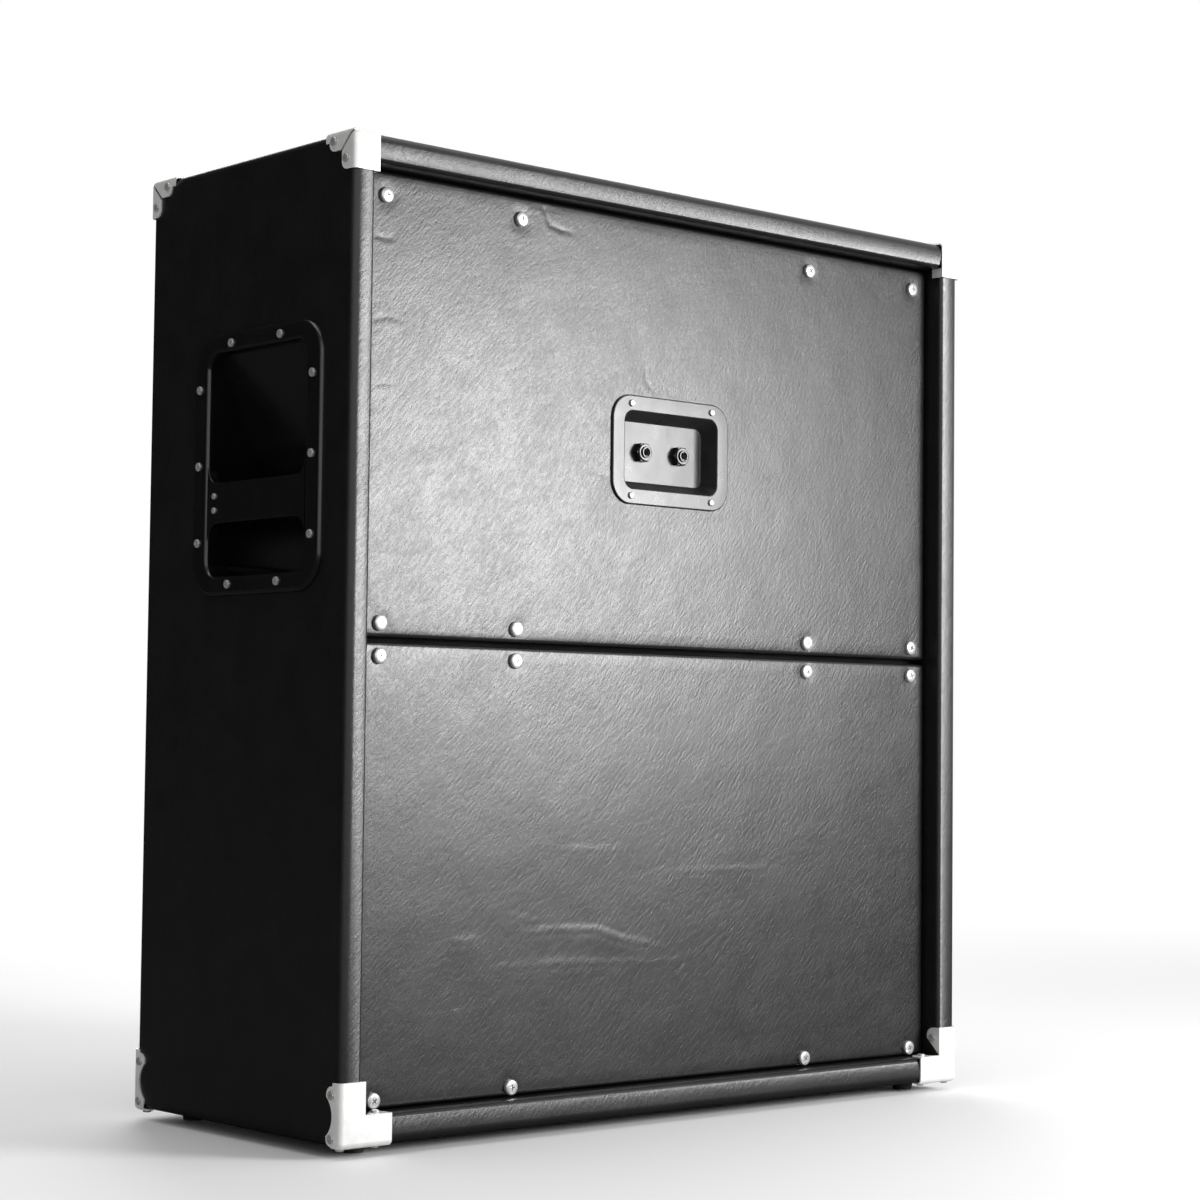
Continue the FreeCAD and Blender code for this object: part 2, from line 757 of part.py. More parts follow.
for side, name in ((1, "right"), (-1, "left")):
    jack_x = cell.jack_spacing / 2 * side
    case_back = dish_floor - cell.dish_wall - cell.jack_case_depth
    case_half = cell.jack_case / 2
    case = block("jack_case_" + name, (jack_x - case_half, case_back, dish_level - case_half),
                 (jack_x + case_half, dish_floor - cell.dish_wall, dish_level + case_half))
    bush_length = cell.jack_reach + cell.dish_wall
    bush = rod("jack_bush_" + name, "y", cell.jack_bush, bush_length,
               (jack_x, dish_floor - cell.dish_wall, dish_level))
    bore = rod("jack_bore_" + name, "y", cell.jack_bore, bush_length + cell.jack_case_depth,
               (jack_x, case_back + cell.dish_wall, dish_level))
    node("jack_" + name, cut("jack_body_" + name, fuse("jack_solid_" + name, case, bush), bore))
    jack_holes.append(rod("jack_hole_" + name, "y", cell.jack_bush + cell.shank_play, bush_length,
                          (jack_x, dish_floor - cell.dish_wall * 2, dish_level)))
dish_solid = fuse("dish_solid", dish_flange, tray)
node("jack_dish", cut("dish", dish_solid, tray_space, dish_holes, *jack_holes))

nut_outer = hexagon_rod("nut_outer", cell.jack_nut, cell.jack_nut_height, (0, dish_floor, dish_level))
nut_hole = rod("nut_hole", "y", cell.jack_bush + cell.shank_play, cell.jack_nut_height,
               (0, dish_floor, dish_level))
nut = cut("nut", nut_outer, nut_hole)
doc.recompute()
nut_places = [vector(cell.jack_spacing / 2 * side, 0, 0) for side in (1, -1)]
node("jack_nuts", group("nuts", [nut.Shape.translated(spot) for spot in nut_places]))


# Side handles: a flange on the covering, a cup whose back slopes away from its top edge, and a bar across.
def handle(side_name):
    """The right-hand cup and bar, in their places."""
    flange = rounded_prism("flange_" + side_name, "x", handle_width, handle_height, cell.handle_corner,
                           cell.handle_flange)
    round_edges(flange, cell.handle_rounding, edge_at("x", cell.handle_flange))
    place(flange, half_width, handle_y, handle_level)

    def wedge(name, grow, mouth):
        """The cup's form seen from its end: shallow at the top, deepest behind and below the bar."""
        high = cell.cup_height / 2 + grow
        deep = cell.cup_depth + grow
        slope_foot = cell.cup_floor - cell.cup_height / 2
        profile = [(-deep, -high), (mouth, -high), (mouth, high), (-cell.cup_lip - grow, high),
                   (-deep, slope_foot)]
        body = doc.addObject("PartDesign::Body", name)
        sketch = new_sketch(body, "XZ_Plane")
        draw_outline(sketch, profile)
        feature = body.newObject("PartDesign::Pad", name + "_pad")
        feature.Profile = sketch
        feature.Midplane = True
        bind(feature, Length=cup_width + grow * 2)
        doc.recompute()
        return place(body, half_width, handle_y, handle_level)

    window = rounded_prism("window_" + side_name, "x", cup_width, cell.cup_height, cell.cup_corner,
                           cell.cup_depth + cell.handle_flange * 2)
    place(window, half_width - cell.cup_depth, handle_y, handle_level)
    jacket = rounded_prism("jacket_" + side_name, "x", cup_width + cell.cup_wall * 2,
                           cell.cup_height + cell.cup_wall * 2, cell.cup_corner + cell.cup_wall,
                           cell.cup_depth + cell.cup_wall * 2)
    place(jacket, half_width - cell.cup_depth - cell.cup_wall * 2, handle_y, handle_level)
    shell = common("cup_shell_" + side_name, wedge("cup_outer_" + side_name, cell.cup_wall, 0), jacket)
    space = common("cup_space_" + side_name, wedge("cup_inner_" + side_name, no_skin, cell.handle_flange),
                   window)

    bar_level = handle_level - cell.bar_drop
    bar_face = handle_face - cell.bar_recess
    bar_back = bar_face - cell.bar_thickness
    half_bar = cell.bar_height / 2
    ledges = []
    for end in (1, -1):
        inner_y = handle_y + (cup_width / 2 - cell.bar_ledge) * end
        outer_y = handle_y + (cup_width / 2 + cell.cup_wall / 2) * end
        low_y, high_y = (inner_y, outer_y) if end > 0 else (outer_y, inner_y)
        ledges.append(block("ledge_%s_%d" % (side_name, end),
                            (half_width - cell.cup_depth / 2, low_y, bar_level - half_bar),
                            (bar_back, high_y, bar_level + half_bar)))
    hollow = cut("hollow_" + side_name, fuse("cup_solid_" + side_name, flange, shell), space)
    bar_length = cup_width - cell.bar_fit * 2
    bar = pad("bar_" + side_name, "x", rectangle(bar_length, cell.bar_height), cell.bar_thickness)
    round_edges(bar, cell.bar_rounding, edge_along("y"))
    place(bar, bar_back, handle_y, bar_level)
    bar_end = cup_width / 2 - cell.bar_screw_inset
    seats = [(vector(bar_face, handle_y - bar_end, bar_level + cell.bar_screw_spacing / 2 * z), X)
             for z in (1, -1)]
    holes = shank_holes("bar_holes_" + side_name, seats, cell.trim_shank, cell.bar_screw_length)
    cup = cut("cup_" + side_name, fuse("cup_ledged_" + side_name, hollow, *ledges), trim_holes, holes)
    return cup, cut("bar_drilled_" + side_name, bar, holes), seats


cup, bar, bar_seats = handle("right")
node("handle_cup_right", cup)
node("handle_bar_right", bar)
node("handle_cup_left", mirror("cup_left", cup, X))
node("handle_bar_left", mirror("bar_left", bar, X))
bar_screw = screw("bar_screw", cell.trim_head, cell.trim_head_height, cell.trim_shank, cell.bar_screw_length)
doc.recompute()
handle_screws = set_screws(bar_screw, bar_seats + reflected(bar_seats, -1, 1))
handle_screws += set_screws(trim_screw, handle_seats + reflected(handle_seats, -1, 1))
node("handle_screws", group("handle_screw_set", handle_screws))


# Metal corners, made for the right back and mirrored. Each is a piece of a thin shell round the whole box.
def box_shell(name, grow, radius):
    """The box grown on all sides, with rounded edges."""
    body = pad(name, "z", rectangle(cell.width + grow * 2, cell.depth + grow * 2), cell.height + grow * 2)
    round_edges(body, radius, lambda edge: True)
    return place(body, 0, 0, underside - grow)


metal_skin = cut("metal_skin", box_shell("metal_outside", cell.metal, cell.bend + cell.metal),
                 box_shell("metal_inside", no_skin, cell.bend))
metal_back = half_depth + cell.metal
metal_under = underside - cell.metal
bend_y = half_depth - cell.waist
leg_width = wall + cell.metal


def bottom_corner():
    """L face on the back, a waisted flange on the side and underneath, and two lips into the recess."""
    upright = block("upright_leg", (half_width - leg_width, bend_y, metal_under),
                    (metal_side, metal_back, underside + cell.leg_length))
    lying = block("lying_leg", (half_width - cell.leg_length, bend_y, metal_under),
                  (metal_side, metal_back, underside + leg_width))
    reach = cell.lobe_reach
    length = cell.flange_length
    thickness = cell.waist + cell.metal
    side_flange = pad("side_flange", "x", [(0, 0), (-reach, 0), (-reach, length), (0, length)], thickness)
    round_edges(side_flange, cell.lobe_radius, edges_at_corners("yz", (-reach, 0), (-reach, length)))
    place(side_flange, half_width - cell.waist, half_depth, underside)
    side_hollow = rod("side_hollow", "x", cell.hollow_radius, thickness,
                      (half_width - cell.waist, half_depth - cell.hollow_from_back, underside + length / 2))
    under_flange = pad("under_flange", "z", [(0, 0), (-length, 0), (-length, -reach), (0, -reach)], thickness)
    round_edges(under_flange, cell.lobe_radius, edges_at_corners("xy", (-length, -reach), (0, -reach)))
    place(under_flange, half_width, half_depth, metal_under)
    under_hollow = rod("under_hollow", "z", cell.hollow_radius, thickness,
                       (half_width - length / 2, half_depth - cell.hollow_from_back, metal_under))
    footprints = [upright, lying, cut("side_waisted", side_flange, side_hollow),
                  cut("under_waisted", under_flange, under_hollow)]
    plate = common("bottom_plate", metal_skin, fuse("bottom_footprint", *footprints))

    lip_outline = [(0, 0), (-cell.lip_depth, cell.lip_depth), (-cell.lip_depth, cell.lip_height),
                   (0, cell.lip_height)]
    standing_lip = pad("standing_lip", "x", lip_outline, cell.metal)
    round_edges(standing_lip, cell.lip_rounding, edges_at_corners("yz", (-cell.lip_depth, cell.lip_height)))
    place(standing_lip, half_width - leg_width, metal_back, lip_level)
    lying_outline = [(0, 0), (-cell.lip_height, 0), (-cell.lip_height, -cell.lip_depth),
                     (-cell.lip_depth, -cell.lip_depth)]
    lying_lip = pad("lying_lip", "z", lying_outline, cell.metal)
    round_edges(lying_lip, cell.lip_rounding, edges_at_corners("xy", (-cell.lip_height, -cell.lip_depth)))
    place(lying_lip, half_width - leg_width, metal_back, underside + wall)
    return cut("bottom_corner", fuse("bottom_lipped", plate, standing_lip, lying_lip), trim_holes)


def top_corner():
    """A strip over the top edge of the back, two side lips that meet in a mitre, a tab and an inner lip."""
    strip_x = half_width - leg_width
    thickness = cell.waist + cell.metal
    strip_low = top_side - cell.strip_drop
    back_leg = block("back_leg", (strip_x, bend_y, strip_low), (metal_side, metal_back, far_z))
    top_leg = block("top_leg", (strip_x, half_depth - cell.strip_run, top_side - cell.waist),
                    (metal_side, metal_back, far_z))
    run = cell.strip_run
    reach = cell.tab_reach
    tab_corners = [(-reach, -cell.tab_start - reach), (-reach, -run)]
    tab = pad("tab", "z", [(0, -cell.tab_start)] + tab_corners + [(0, -run)], thickness)
    round_edges(tab, cell.tab_rounding, edges_at_corners("xy", *tab_corners))
    place(tab, strip_x, half_depth, top_side - cell.waist)

    lip = cell.side_lip
    lip_start = half_width - cell.waist
    along_top = pad("along_top", "x", rectangle(cell.side_lip_run, lip), thickness)
    round_edges(along_top, cell.side_lip_rounding, edges_at_corners("yz", (-cell.side_lip_run / 2, -lip / 2)))
    place(along_top, lip_start, half_depth - cell.side_lip_run / 2, top_side - lip / 2)
    down_side = pad("down_side", "x", rectangle(lip, cell.strip_drop), thickness)
    round_edges(down_side, cell.side_lip_rounding, edges_at_corners("yz", (-lip / 2, -cell.strip_drop / 2)))
    place(down_side, lip_start, half_depth - lip / 2, top_side - cell.strip_drop / 2)
    footprint = fuse("top_footprint", back_leg, top_leg, tab, along_top, down_side)
    inner_lip = block("inner_lip", (strip_x, half_depth - cell.inner_lip, strip_low),
                      (half_width - wall, metal_back, top_side - wall))
    plate = fuse("top_lipped", common("top_plate_of_corner", metal_skin, footprint), inner_lip)
    mitre = block("mitre", (0, 0, 0), (cell.waist + cell.metal * 2, cell.mitre_gap, cell.side_lip * 2))
    mitre.Placement = FreeCAD.Placement(FreeCAD.Vector(), FreeCAD.Rotation(X, 135))
    tilt = math.sqrt(0.5)
    apex_inset = cell.bend * (1 - tilt)
    place(mitre, half_width - cell.metal, half_depth + cell.mitre_gap / 2 * tilt - apex_inset,
          top_side - cell.mitre_gap / 2 * tilt - apex_inset)
    return cut("top_corner", plate, mitre, trim_holes)


for kind, corner in (("bottom", bottom_corner()), ("top", top_corner())):
    back_left = mirror(kind + "_back_left", corner, X)
    node(kind + "_corner_back_right", corner)
    node(kind + "_corner_back_left", back_left)
    node(kind + "_corner_front_right", mirror(kind + "_front_right", corner, Y))
    node(kind + "_corner_front_left", mirror(kind + "_front_left", back_left, Y))
doc.recompute()
node("corner_screws", group("corner_screw_set", set_screws(trim_screw, corner_seats)))


# Rubber feet: tapered, with a sunk screw.
foot_cone = doc.addObject("Part::Cone", "foot_cone")
bind(foot_cone, Radius1=cell.foot_tip_radius, Radius2=cell.foot_radius, Height=cell.foot_height)
foot_sink = rod("foot_sink", "z", cell.foot_bore, cell.foot_height - cell.foot_web, (0, 0, 0))
foot_hole = rod("foot_hole", "z", cell.trim_shank + cell.shank_play, cell.foot_height, (0, 0, 0))
foot = cut("foot", foot_cone, foot_sink, foot_hole)
doc.recompute()
foot_places = [vector(foot_x * x, foot_y * y, 0) for x in (1, -1) for y in (1, -1)]
node("rubber_feet", group("feet", [foot.Shape.translated(spot) for spot in foot_places]))
node("foot_screws", group("foot_screw_set", set_screws(trim_screw, foot_seats)))
node("back_panel_screws", group("panel_screw_set", set_screws(panel_screw, panel_seats)))
node("jack_dish_screws", group("dish_screw_set", set_screws(trim_screw, dish_seats)))


# Grille: cloth stretched over a frame, on pads on the baffle.
grille_half = half_width - wall - cell.grille_gap
grille_low = underside + wall + cell.grille_gap
grille_high = top_side - wall - cell.grille_gap
cloth_face = cell.grille_recess - half_depth
frame_back = cloth_face + cell.cloth + cell.grille_board
frame_half = grille_half - cell.cloth
frame_block = block("frame_block", (-frame_half, cloth_face + cell.cloth, grille_low + cell.cloth),
                    (frame_half, frame_back, grille_high - cell.cloth))
rail_half = frame_half - cell.grille_rail
frame_window = block("frame_window", (-rail_half, cloth_face, grille_low + cell.cloth + cell.grille_rail),
                     (rail_half, baffle_face, grille_high - cell.cloth - cell.grille_rail))
node("grille_frame", cut("frame", frame_block, frame_window))
cloth_block = block("cloth_block", (-grille_half, cloth_face, grille_low),
                    (grille_half, frame_back, grille_high))
node("grille_cloth", cut("cloth_cover", cloth_block, frame_block))
pad_x = frame_half - cell.grille_rail / 2
pad_shapes = []
for x in (1, -1):
    for z in (1, 0, -1):
        low = vector(pad_x * x - cell.pad_width / 2, frame_back,
                     middle_level + (cell.height / 2 - cell.grille_rail * 2) * z - cell.pad_length / 2)
        pad_shapes.append(Part.makeBox(cell.pad_width.number, cell.grille_pad.number, cell.pad_length.number,
                                       low))
node("grille_pads", group("pads", pad_shapes))


# Baffle with a cutout for each driver, on cleats round the inside of the box.
BOLTS = 4
BASKET_WINDOWS = 6
SURROUND_WAVES = 2
SPIDER_WAVES = 5
DOME_STEPS = 5
frame_radius = cell.cutout_radius + cell.frame_lap
frame_inner = cell.cutout_radius - cell.frame_overhang
bolt_circle = cell.cutout_radius + cell.bolt_lap
gasket_inner = cell.cutout_radius + cell.gasket_set_back
basket_mouth = cell.cutout_radius + cell.mouth_lap
ledge_radius = basket_mouth - cell.basket_taper
ledge_inner = ledge_radius - cell.ledge_width
window_inner = ledge_radius + cell.window_from_ledge
window_outer = basket_mouth - cell.window_from_mouth
plate_radius = ledge_inner + cell.plate_lap
magnet_radius = plate_radius + cell.magnet_lap
cone_radius = cell.cutout_radius - cell.surround_width
spider_seat = ledge_inner + cell.spider_lap
baffle_half = inner_half - cell.board_fit
rail_reach = baffle_half - cell.baffle_cleat
driver_across = rail_reach - cell.driver_clearance - frame_radius
driver_up = cleat_high - cell.baffle_cleat - cell.driver_clearance - frame_radius - middle_level
drivers = {
    "upper": (-driver_across, middle_level + driver_up),
    "lower": (driver_across, middle_level - driver_up),
}
bolt_angles = [2 * math.pi * (number + 0.5) / BOLTS for number in range(BOLTS)]
bolt_spots = [(math.cos(angle), math.sin(angle)) for angle in bolt_angles]
bolt_seats = [(vector(x + bolt_circle * across, baffle_back + cell.gasket + cell.sheet_steel,
                      z + bolt_circle * up), Y)
              for x, z in drivers.values() for across, up in bolt_spots]
bolt_length = cell.gasket + cell.sheet_steel + cell.baffle
bolt_holes = shank_holes("bolt_holes", bolt_seats, cell.bolt_radius, bolt_length)
baffle_blank = block("baffle_blank", (-baffle_half, baffle_face, cleat_low),
                     (baffle_half, baffle_back, cleat_high))
cutouts = [rod(name + "_cutout", "y", cell.cutout_radius, cell.baffle, (x, baffle_face, z))
           for name, (x, z) in drivers.items()]
node("baffle_board", cut("baffle_cut", baffle_blank, bolt_holes, *cutouts))

upright_cleat = block("upright_cleat", (baffle_half - cell.baffle_cleat, baffle_back, cleat_low),
                      (baffle_half, rail_back, cleat_high))
high_cleat = block("high_cleat", (-rail_reach, baffle_back, cleat_high - cell.baffle_cleat),
                   (rail_reach, rail_back, cleat_high))
low_cleat = block("low_cleat", (-rail_reach, baffle_back, cleat_low),
                  (rail_reach, rail_back, cleat_low + cell.baffle_cleat))
baffle_cleats = doc.addObject("Part::Compound", "baffle_cleat_set")
baffle_cleats.Links = [upright_cleat, mirror("upright_cleat_left", upright_cleat, X), high_cleat, low_cleat]
node("baffle_cleats", baffle_cleats)


# Drivers. Depths run backwards from the baffle's rear face.
flange_front = cell.gasket
flange_back = cell.gasket + cell.sheet_steel
ledge_back = cell.ledge_depth + cell.sheet_steel
floor_back = cell.floor_depth + cell.sheet_steel
magnet_front = floor_back + cell.plate
magnet_back = magnet_front + cell.magnet_depth
former_outer = cell.former_radius + cell.former_wall
coil_back = floor_back + (cell.plate + cell.winding_height) / 2
coil_front = coil_back - cell.winding_height
ledge_mouth = ledge_inner + cell.sheet_steel


def basket(name, x, z):
    """Pressed steel frame with six windows, a ledge for the spider and a floor for the magnet."""
    steel = cell.sheet_steel
    body = turned(name, [
        (frame_inner, flange_front), (frame_radius, flange_front), (frame_radius, flange_back),
        (basket_mouth, flange_back), (basket_mouth, cell.shoulder_depth + steel),
        (ledge_radius + steel, ledge_back), (ledge_mouth, ledge_back), (ledge_mouth, floor_back),
        (cell.floor_inner, floor_back), (cell.floor_inner, cell.floor_depth), (ledge_inner, cell.floor_depth),
        (ledge_inner, cell.ledge_depth), (ledge_radius, cell.ledge_depth),
        (basket_mouth - steel, cell.shoulder_depth), (basket_mouth - steel, flange_back),
        (frame_inner, flange_back),
    ])
    spread = math.tan(math.radians(cell.window_half_angle.number))
    sketch = new_sketch(body, "XZ_Plane")
    draw_outline(sketch, [(window_inner, -window_inner * spread), (window_outer, -window_outer * spread),
                          (window_outer, window_outer * spread), (window_inner, window_inner * spread)])
    before = body.Shape.Volume
    window = body.newObject("PartDesign::Pocket", name + "_window")
    window.Profile = sketch
    window.Type = "ThroughAll"
    window.Midplane = True
    doc.recompute()
    if body.Shape.Volume > before - LEAST_CUT:
        raise RuntimeError(name + ": the window was not cut")
    windows = body.newObject("PartDesign::PolarPattern", name + "_windows")
    windows.Originals = [window]
    axis = next(item for item in body.Origin.OriginFeatures if item.Role == "Y_Axis")
    windows.Axis = (axis, [""])
    windows.Angle = 360
    windows.Occurrences = BASKET_WINDOWS
    body.Tip = windows
    doc.recompute()
    place(body, x, baffle_back, z)
    return cut(name + "_drilled", body, bolt_holes)


def wavy_ring(inner, outer, inner_depth, outer_depth, rise, thickness, waves):
    """The outline of a corrugated ring: crests and troughs between two radii and two depths."""
    steps = waves * 2
    front = []
    for step in range(steps + 1):
        radius = inner + (outer - inner) * (step / steps)
        level = inner_depth + (outer_depth - inner_depth) * (step / steps)
        front.append((radius, level - rise * (step % 2)))
    back = [(radius, level + thickness) for radius, level in reversed(front)]
    return front + back


def driver(name, x, z):
    """One driver's pieces, each turned about the driver's axis."""
    def put(label, body):
        node(name + "_" + label, place(body, x, baffle_back, z))

    node(name + "_basket", basket(name + "_basket_body", x, z))
    put("top_plate", turned(name + "_plate_body", [
        (cell.gap_radius, floor_back), (plate_radius, floor_back), (plate_radius, magnet_front),
        (cell.gap_radius, magnet_front)]))
    put("magnet", turned(name + "_magnet_body", [
        (cell.magnet_inner, magnet_front), (magnet_radius, magnet_front),
        (magnet_radius, magnet_back), (cell.magnet_inner, magnet_back)]))
    put("yoke", turned(name + "_yoke_body", [
        (cell.vent_radius, floor_back), (cell.pole_radius, floor_back), (cell.pole_radius, magnet_back),
        (plate_radius, magnet_back), (plate_radius, magnet_back + cell.plate),
        (cell.vent_radius, magnet_back + cell.plate)]))
    put("voice_coil", turned(name + "_coil_body", [
        (cell.former_radius, cell.neck_depth), (former_outer, cell.neck_depth), (former_outer, coil_front),
        (former_outer + cell.winding_wall, coil_front), (former_outer + cell.winding_wall, coil_back),
        (cell.former_radius, coil_back)]))
    neck = former_outer
    slant = (cell.neck_depth - cell.cone_edge_depth) / (cone_radius - neck)
    put("cone", turned(name + "_cone_body", [
        (neck, cell.neck_depth), (cone_radius, cell.cone_edge_depth),
        (cone_radius, cell.cone_edge_depth + cell.cone_wall),
        (neck, cell.neck_depth + cell.cone_wall)]))
    cap_depth = cell.neck_depth - (cell.cap_radius - neck) * slant
    cap_outline = dome(cell.cap_radius, cap_depth - cell.cap_wall, cell.cap_rise)
    put("dust_cap", turned(name + "_cap_body", cap_outline))
    put("surround", turned(name + "_surround_body", wavy_ring(
        cone_radius + cell.running_gap, frame_inner + cell.surround_seat, cell.cone_edge_depth,
        flange_front - cell.surround_wall, cell.surround_rise, cell.surround_wall, SURROUND_WAVES)))
    put("spider", turned(name + "_spider_body", wavy_ring(
        former_outer + cell.running_gap, spider_seat, cell.ledge_depth - cell.spider_wall,
        cell.ledge_depth - cell.spider_wall, cell.spider_rise, cell.spider_wall, SPIDER_WAVES)))


def dome(radius, depth, rise):
    """The outline of a thin dome that bulges forward from a ring at one depth."""
    front = []
    for step in range(DOME_STEPS + 1):
        angle = math.pi / 2 * (1 - step / DOME_STEPS)
        front.append((radius * math.cos(angle), depth - rise * math.sin(angle)))
    back = [(across, level + cell.cap_wall) for across, level in reversed(front)]
    return front + back


for name, (x, z) in drivers.items():
    driver(name, x, z)


# Small pieces of both drivers: gaskets, bolts, terminal strips, and the leads from the jacks.
gaskets = []
strips = []
strip_turn = {"upper": (1, 0), "lower": (0, 1)}
strip_reach = (ledge_mouth + ledge_radius) / 2
strip_front = baffle_back + ledge_back
for name, (x, z) in drivers.items():
    ring = cut(name + "_ring",
               rod(name + "_ring_outer", "y", frame_radius, cell.gasket, (x, baffle_back, z)),
               rod(name + "_ring_inner", "y", gasket_inner, cell.gasket, (x, baffle_back, z)),
               bolt_holes)
    gaskets.append(ring)
    across, up = strip_turn[name]
    centre_x = x + strip_reach * across
    centre_z = z + strip_reach * up
    half_x = cell.tag_board_height / 2 * across + cell.tag_board / 2 * up
    half_z = cell.tag_board / 2 * across + cell.tag_board_height / 2 * up
    strip = block(name + "_strip", (centre_x - half_x, strip_front, centre_z - half_z),
                  (centre_x + half_x, strip_front + cell.tag_board_wall, centre_z + half_z))
    tags = []
    for side in (1, -1):
        tag_x = centre_x + cell.tag_board / 4 * side * up
        tag_z = centre_z + cell.tag_board / 4 * side * across
        tag_half_x = cell.tag_wall / 2 * up + cell.tag_height / 2 * across
        tag_half_z = cell.tag_wall / 2 * across + cell.tag_height / 2 * up
        tags.append(block("%s_tag_%d" % (name, side),
                          (tag_x - tag_half_x, strip_front + cell.tag_board_wall, tag_z - tag_half_z),
                          (tag_x + tag_half_x, strip_front + cell.tag_board_wall + cell.tag_length,
                           tag_z + tag_half_z)))
    strips.append(fuse(name + "_terminals", strip, *tags))
gasket_set = doc.addObject("Part::Compound", "gasket_set")
gasket_set.Links = gaskets
node("driver_gaskets", gasket_set)
strip_set = doc.addObject("Part::Compound", "strip_set")
strip_set.Links = strips
node("driver_terminals", strip_set)
bolt = screw("bolt", cell.bolt_head, cell.bolt_head_height, cell.bolt_radius, bolt_length)
doc.recompute()
node("driver_bolts", group("bolt_set", set_screws(bolt, bolt_seats)))


# How far a lead hangs below the straight line between its ends, as a share of that line; where along the line
# it hangs so; how much of a run each bend takes up; and how far its volume may be from section times length.
LEAD_DROOP = 0.08
LEAD_HUNG = (0.35, 0.7)
LEAD_BEND = 0.45
LEAD_TOLERANCE = 0.02


def lead(points, radius):
    """A round lead along straight runs joined by arcs as large as the runs allow."""
    edges = []
    start = points[0]
    for before, corner, after in zip(points, points[1:], points[2:]):
        back_run, next_run = before - corner, after - corner
        turn = math.pi - back_run.getAngle(next_run)
        trimmed = LEAD_BEND * min(back_run.Length, next_run.Length)
        first = corner + FreeCAD.Vector(back_run).normalize() * trimmed
        last = corner + FreeCAD.Vector(next_run).normalize() * trimmed
        bend_radius = trimmed / math.tan(turn / 2)
        inward = (first + last) * 0.5 - corner
        sagitta = math.hypot(bend_radius, trimmed) - bend_radius
        middle = corner + inward.normalize() * sagitta
        edges.append(Part.LineSegment(start, first).toShape())
        edges.append(Part.Arc(first, middle, last).toShape())
        start = last
    edges.append(Part.LineSegment(start, points[-1]).toShape())
    path = Part.Wire(edges)
    heading = points[1] - points[0]
    section = Part.Wire([Part.makeCircle(radius, points[0], heading)])
    tube = path.makePipeShell([section], True, False)
    expected = math.pi * radius ** 2 * path.Length
    if abs(tube.Volume - expected) > LEAD_TOLERANCE * expected:
        raise RuntimeError("a lead's volume is not its section times its length")
    return tube


def lead_route(jack_side, name):
    """Points from the back of a jack to the tag of a driver's terminal strip."""
    x, z = drivers[name]
    across, up = strip_turn[name]
    jack_tail = vector(cell.jack_spacing / 2 * jack_side, dish_floor - cell.dish_wall - cell.jack_case_depth,
                       dish_level)
    tag = vector(x + strip_reach * across, strip_front + cell.tag_board_wall, z + strip_reach * up)
    out = FreeCAD.Vector(0, -cell.lead_exit.number, 0)
    yoke_back = magnet_back + cell.plate
    rise = FreeCAD.Vector(0, (yoke_back + cell.lead_exit - ledge_back - cell.tag_board_wall).number, 0)
    span = (tag + rise) - (jack_tail + out)
    droop = FreeCAD.Vector(0, 0, -LEAD_DROOP * span.Length)
    hung = [jack_tail + out + span * share + droop for share in LEAD_HUNG]
    return [jack_tail, jack_tail + out] + hung + [tag + rise, tag]


leads = [lead(lead_route(-1, "upper"), cell.lead_radius.number),
         lead(lead_route(1, "lower"), cell.lead_radius.number)]
node("speaker_wires", group("lead_set", leads))

doc.recompute()
for thing in doc.Objects:
    if {"Invalid", "Error"} & set(thing.State):
        raise RuntimeError("%s did not compute: %s" % (thing.Name, thing.State))
for label, thing in nodes.items():
    if thing.Shape.isNull() or not thing.Shape.isValid():
        raise RuntimeError(label + " has no valid shape")

os.makedirs("parts", exist_ok=True)
for label, thing in nodes.items():
    thing.Shape.exportStep("parts/%s.step" % label)
print("%d nodes" % len(nodes))
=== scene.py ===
"""Dresses a covered guitar speaker cabinet, seen from behind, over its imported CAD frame."""

import math
import random
from contextlib import contextmanager
from itertools import product

import bmesh
import bpy
from bpy.props import FloatProperty, FloatVectorProperty, PointerProperty
from mathutils import Matrix, Vector


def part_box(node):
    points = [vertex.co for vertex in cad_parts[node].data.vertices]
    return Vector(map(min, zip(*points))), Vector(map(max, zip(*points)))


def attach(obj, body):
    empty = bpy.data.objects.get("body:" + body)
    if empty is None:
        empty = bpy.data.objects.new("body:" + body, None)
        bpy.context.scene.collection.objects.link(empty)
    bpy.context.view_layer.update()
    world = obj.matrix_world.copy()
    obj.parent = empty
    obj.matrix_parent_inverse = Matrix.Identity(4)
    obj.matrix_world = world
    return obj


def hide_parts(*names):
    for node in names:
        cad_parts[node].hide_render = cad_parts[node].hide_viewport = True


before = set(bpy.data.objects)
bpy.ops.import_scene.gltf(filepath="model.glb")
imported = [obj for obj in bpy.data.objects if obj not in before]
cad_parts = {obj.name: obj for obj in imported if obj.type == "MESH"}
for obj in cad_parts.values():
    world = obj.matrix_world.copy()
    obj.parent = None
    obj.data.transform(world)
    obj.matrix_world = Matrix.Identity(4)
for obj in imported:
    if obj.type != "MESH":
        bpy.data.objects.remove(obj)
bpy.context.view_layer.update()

bl_info = {
    "name": "Speaker Cabinet",
    "version": (1, 0, 0),
    "blender": (4, 5, 0),
    "location": "3D View > Sidebar > Cabinet",
    "description": "Models and finishes a vinyl covered guitar speaker cabinet",
    "category": "Object",
}

MM = 0.001
NEAR = 2e-5
SQUARE = 0.999
UP = Vector((0, 0, 1))
BACK = Vector((0, 1, 0))


def length(name, text, millimetres):
    """A size that a user may change."""
    return FloatProperty(name=name, description=text, default=millimetres * MM, min=0.0, precision=4, unit="LENGTH")


def colour(name, text, default):
    """A colour that a user may change."""
    return FloatVectorProperty(name=name, description=text, default=default, min=0.0, max=1.0, size=3,
                               subtype="COLOR")


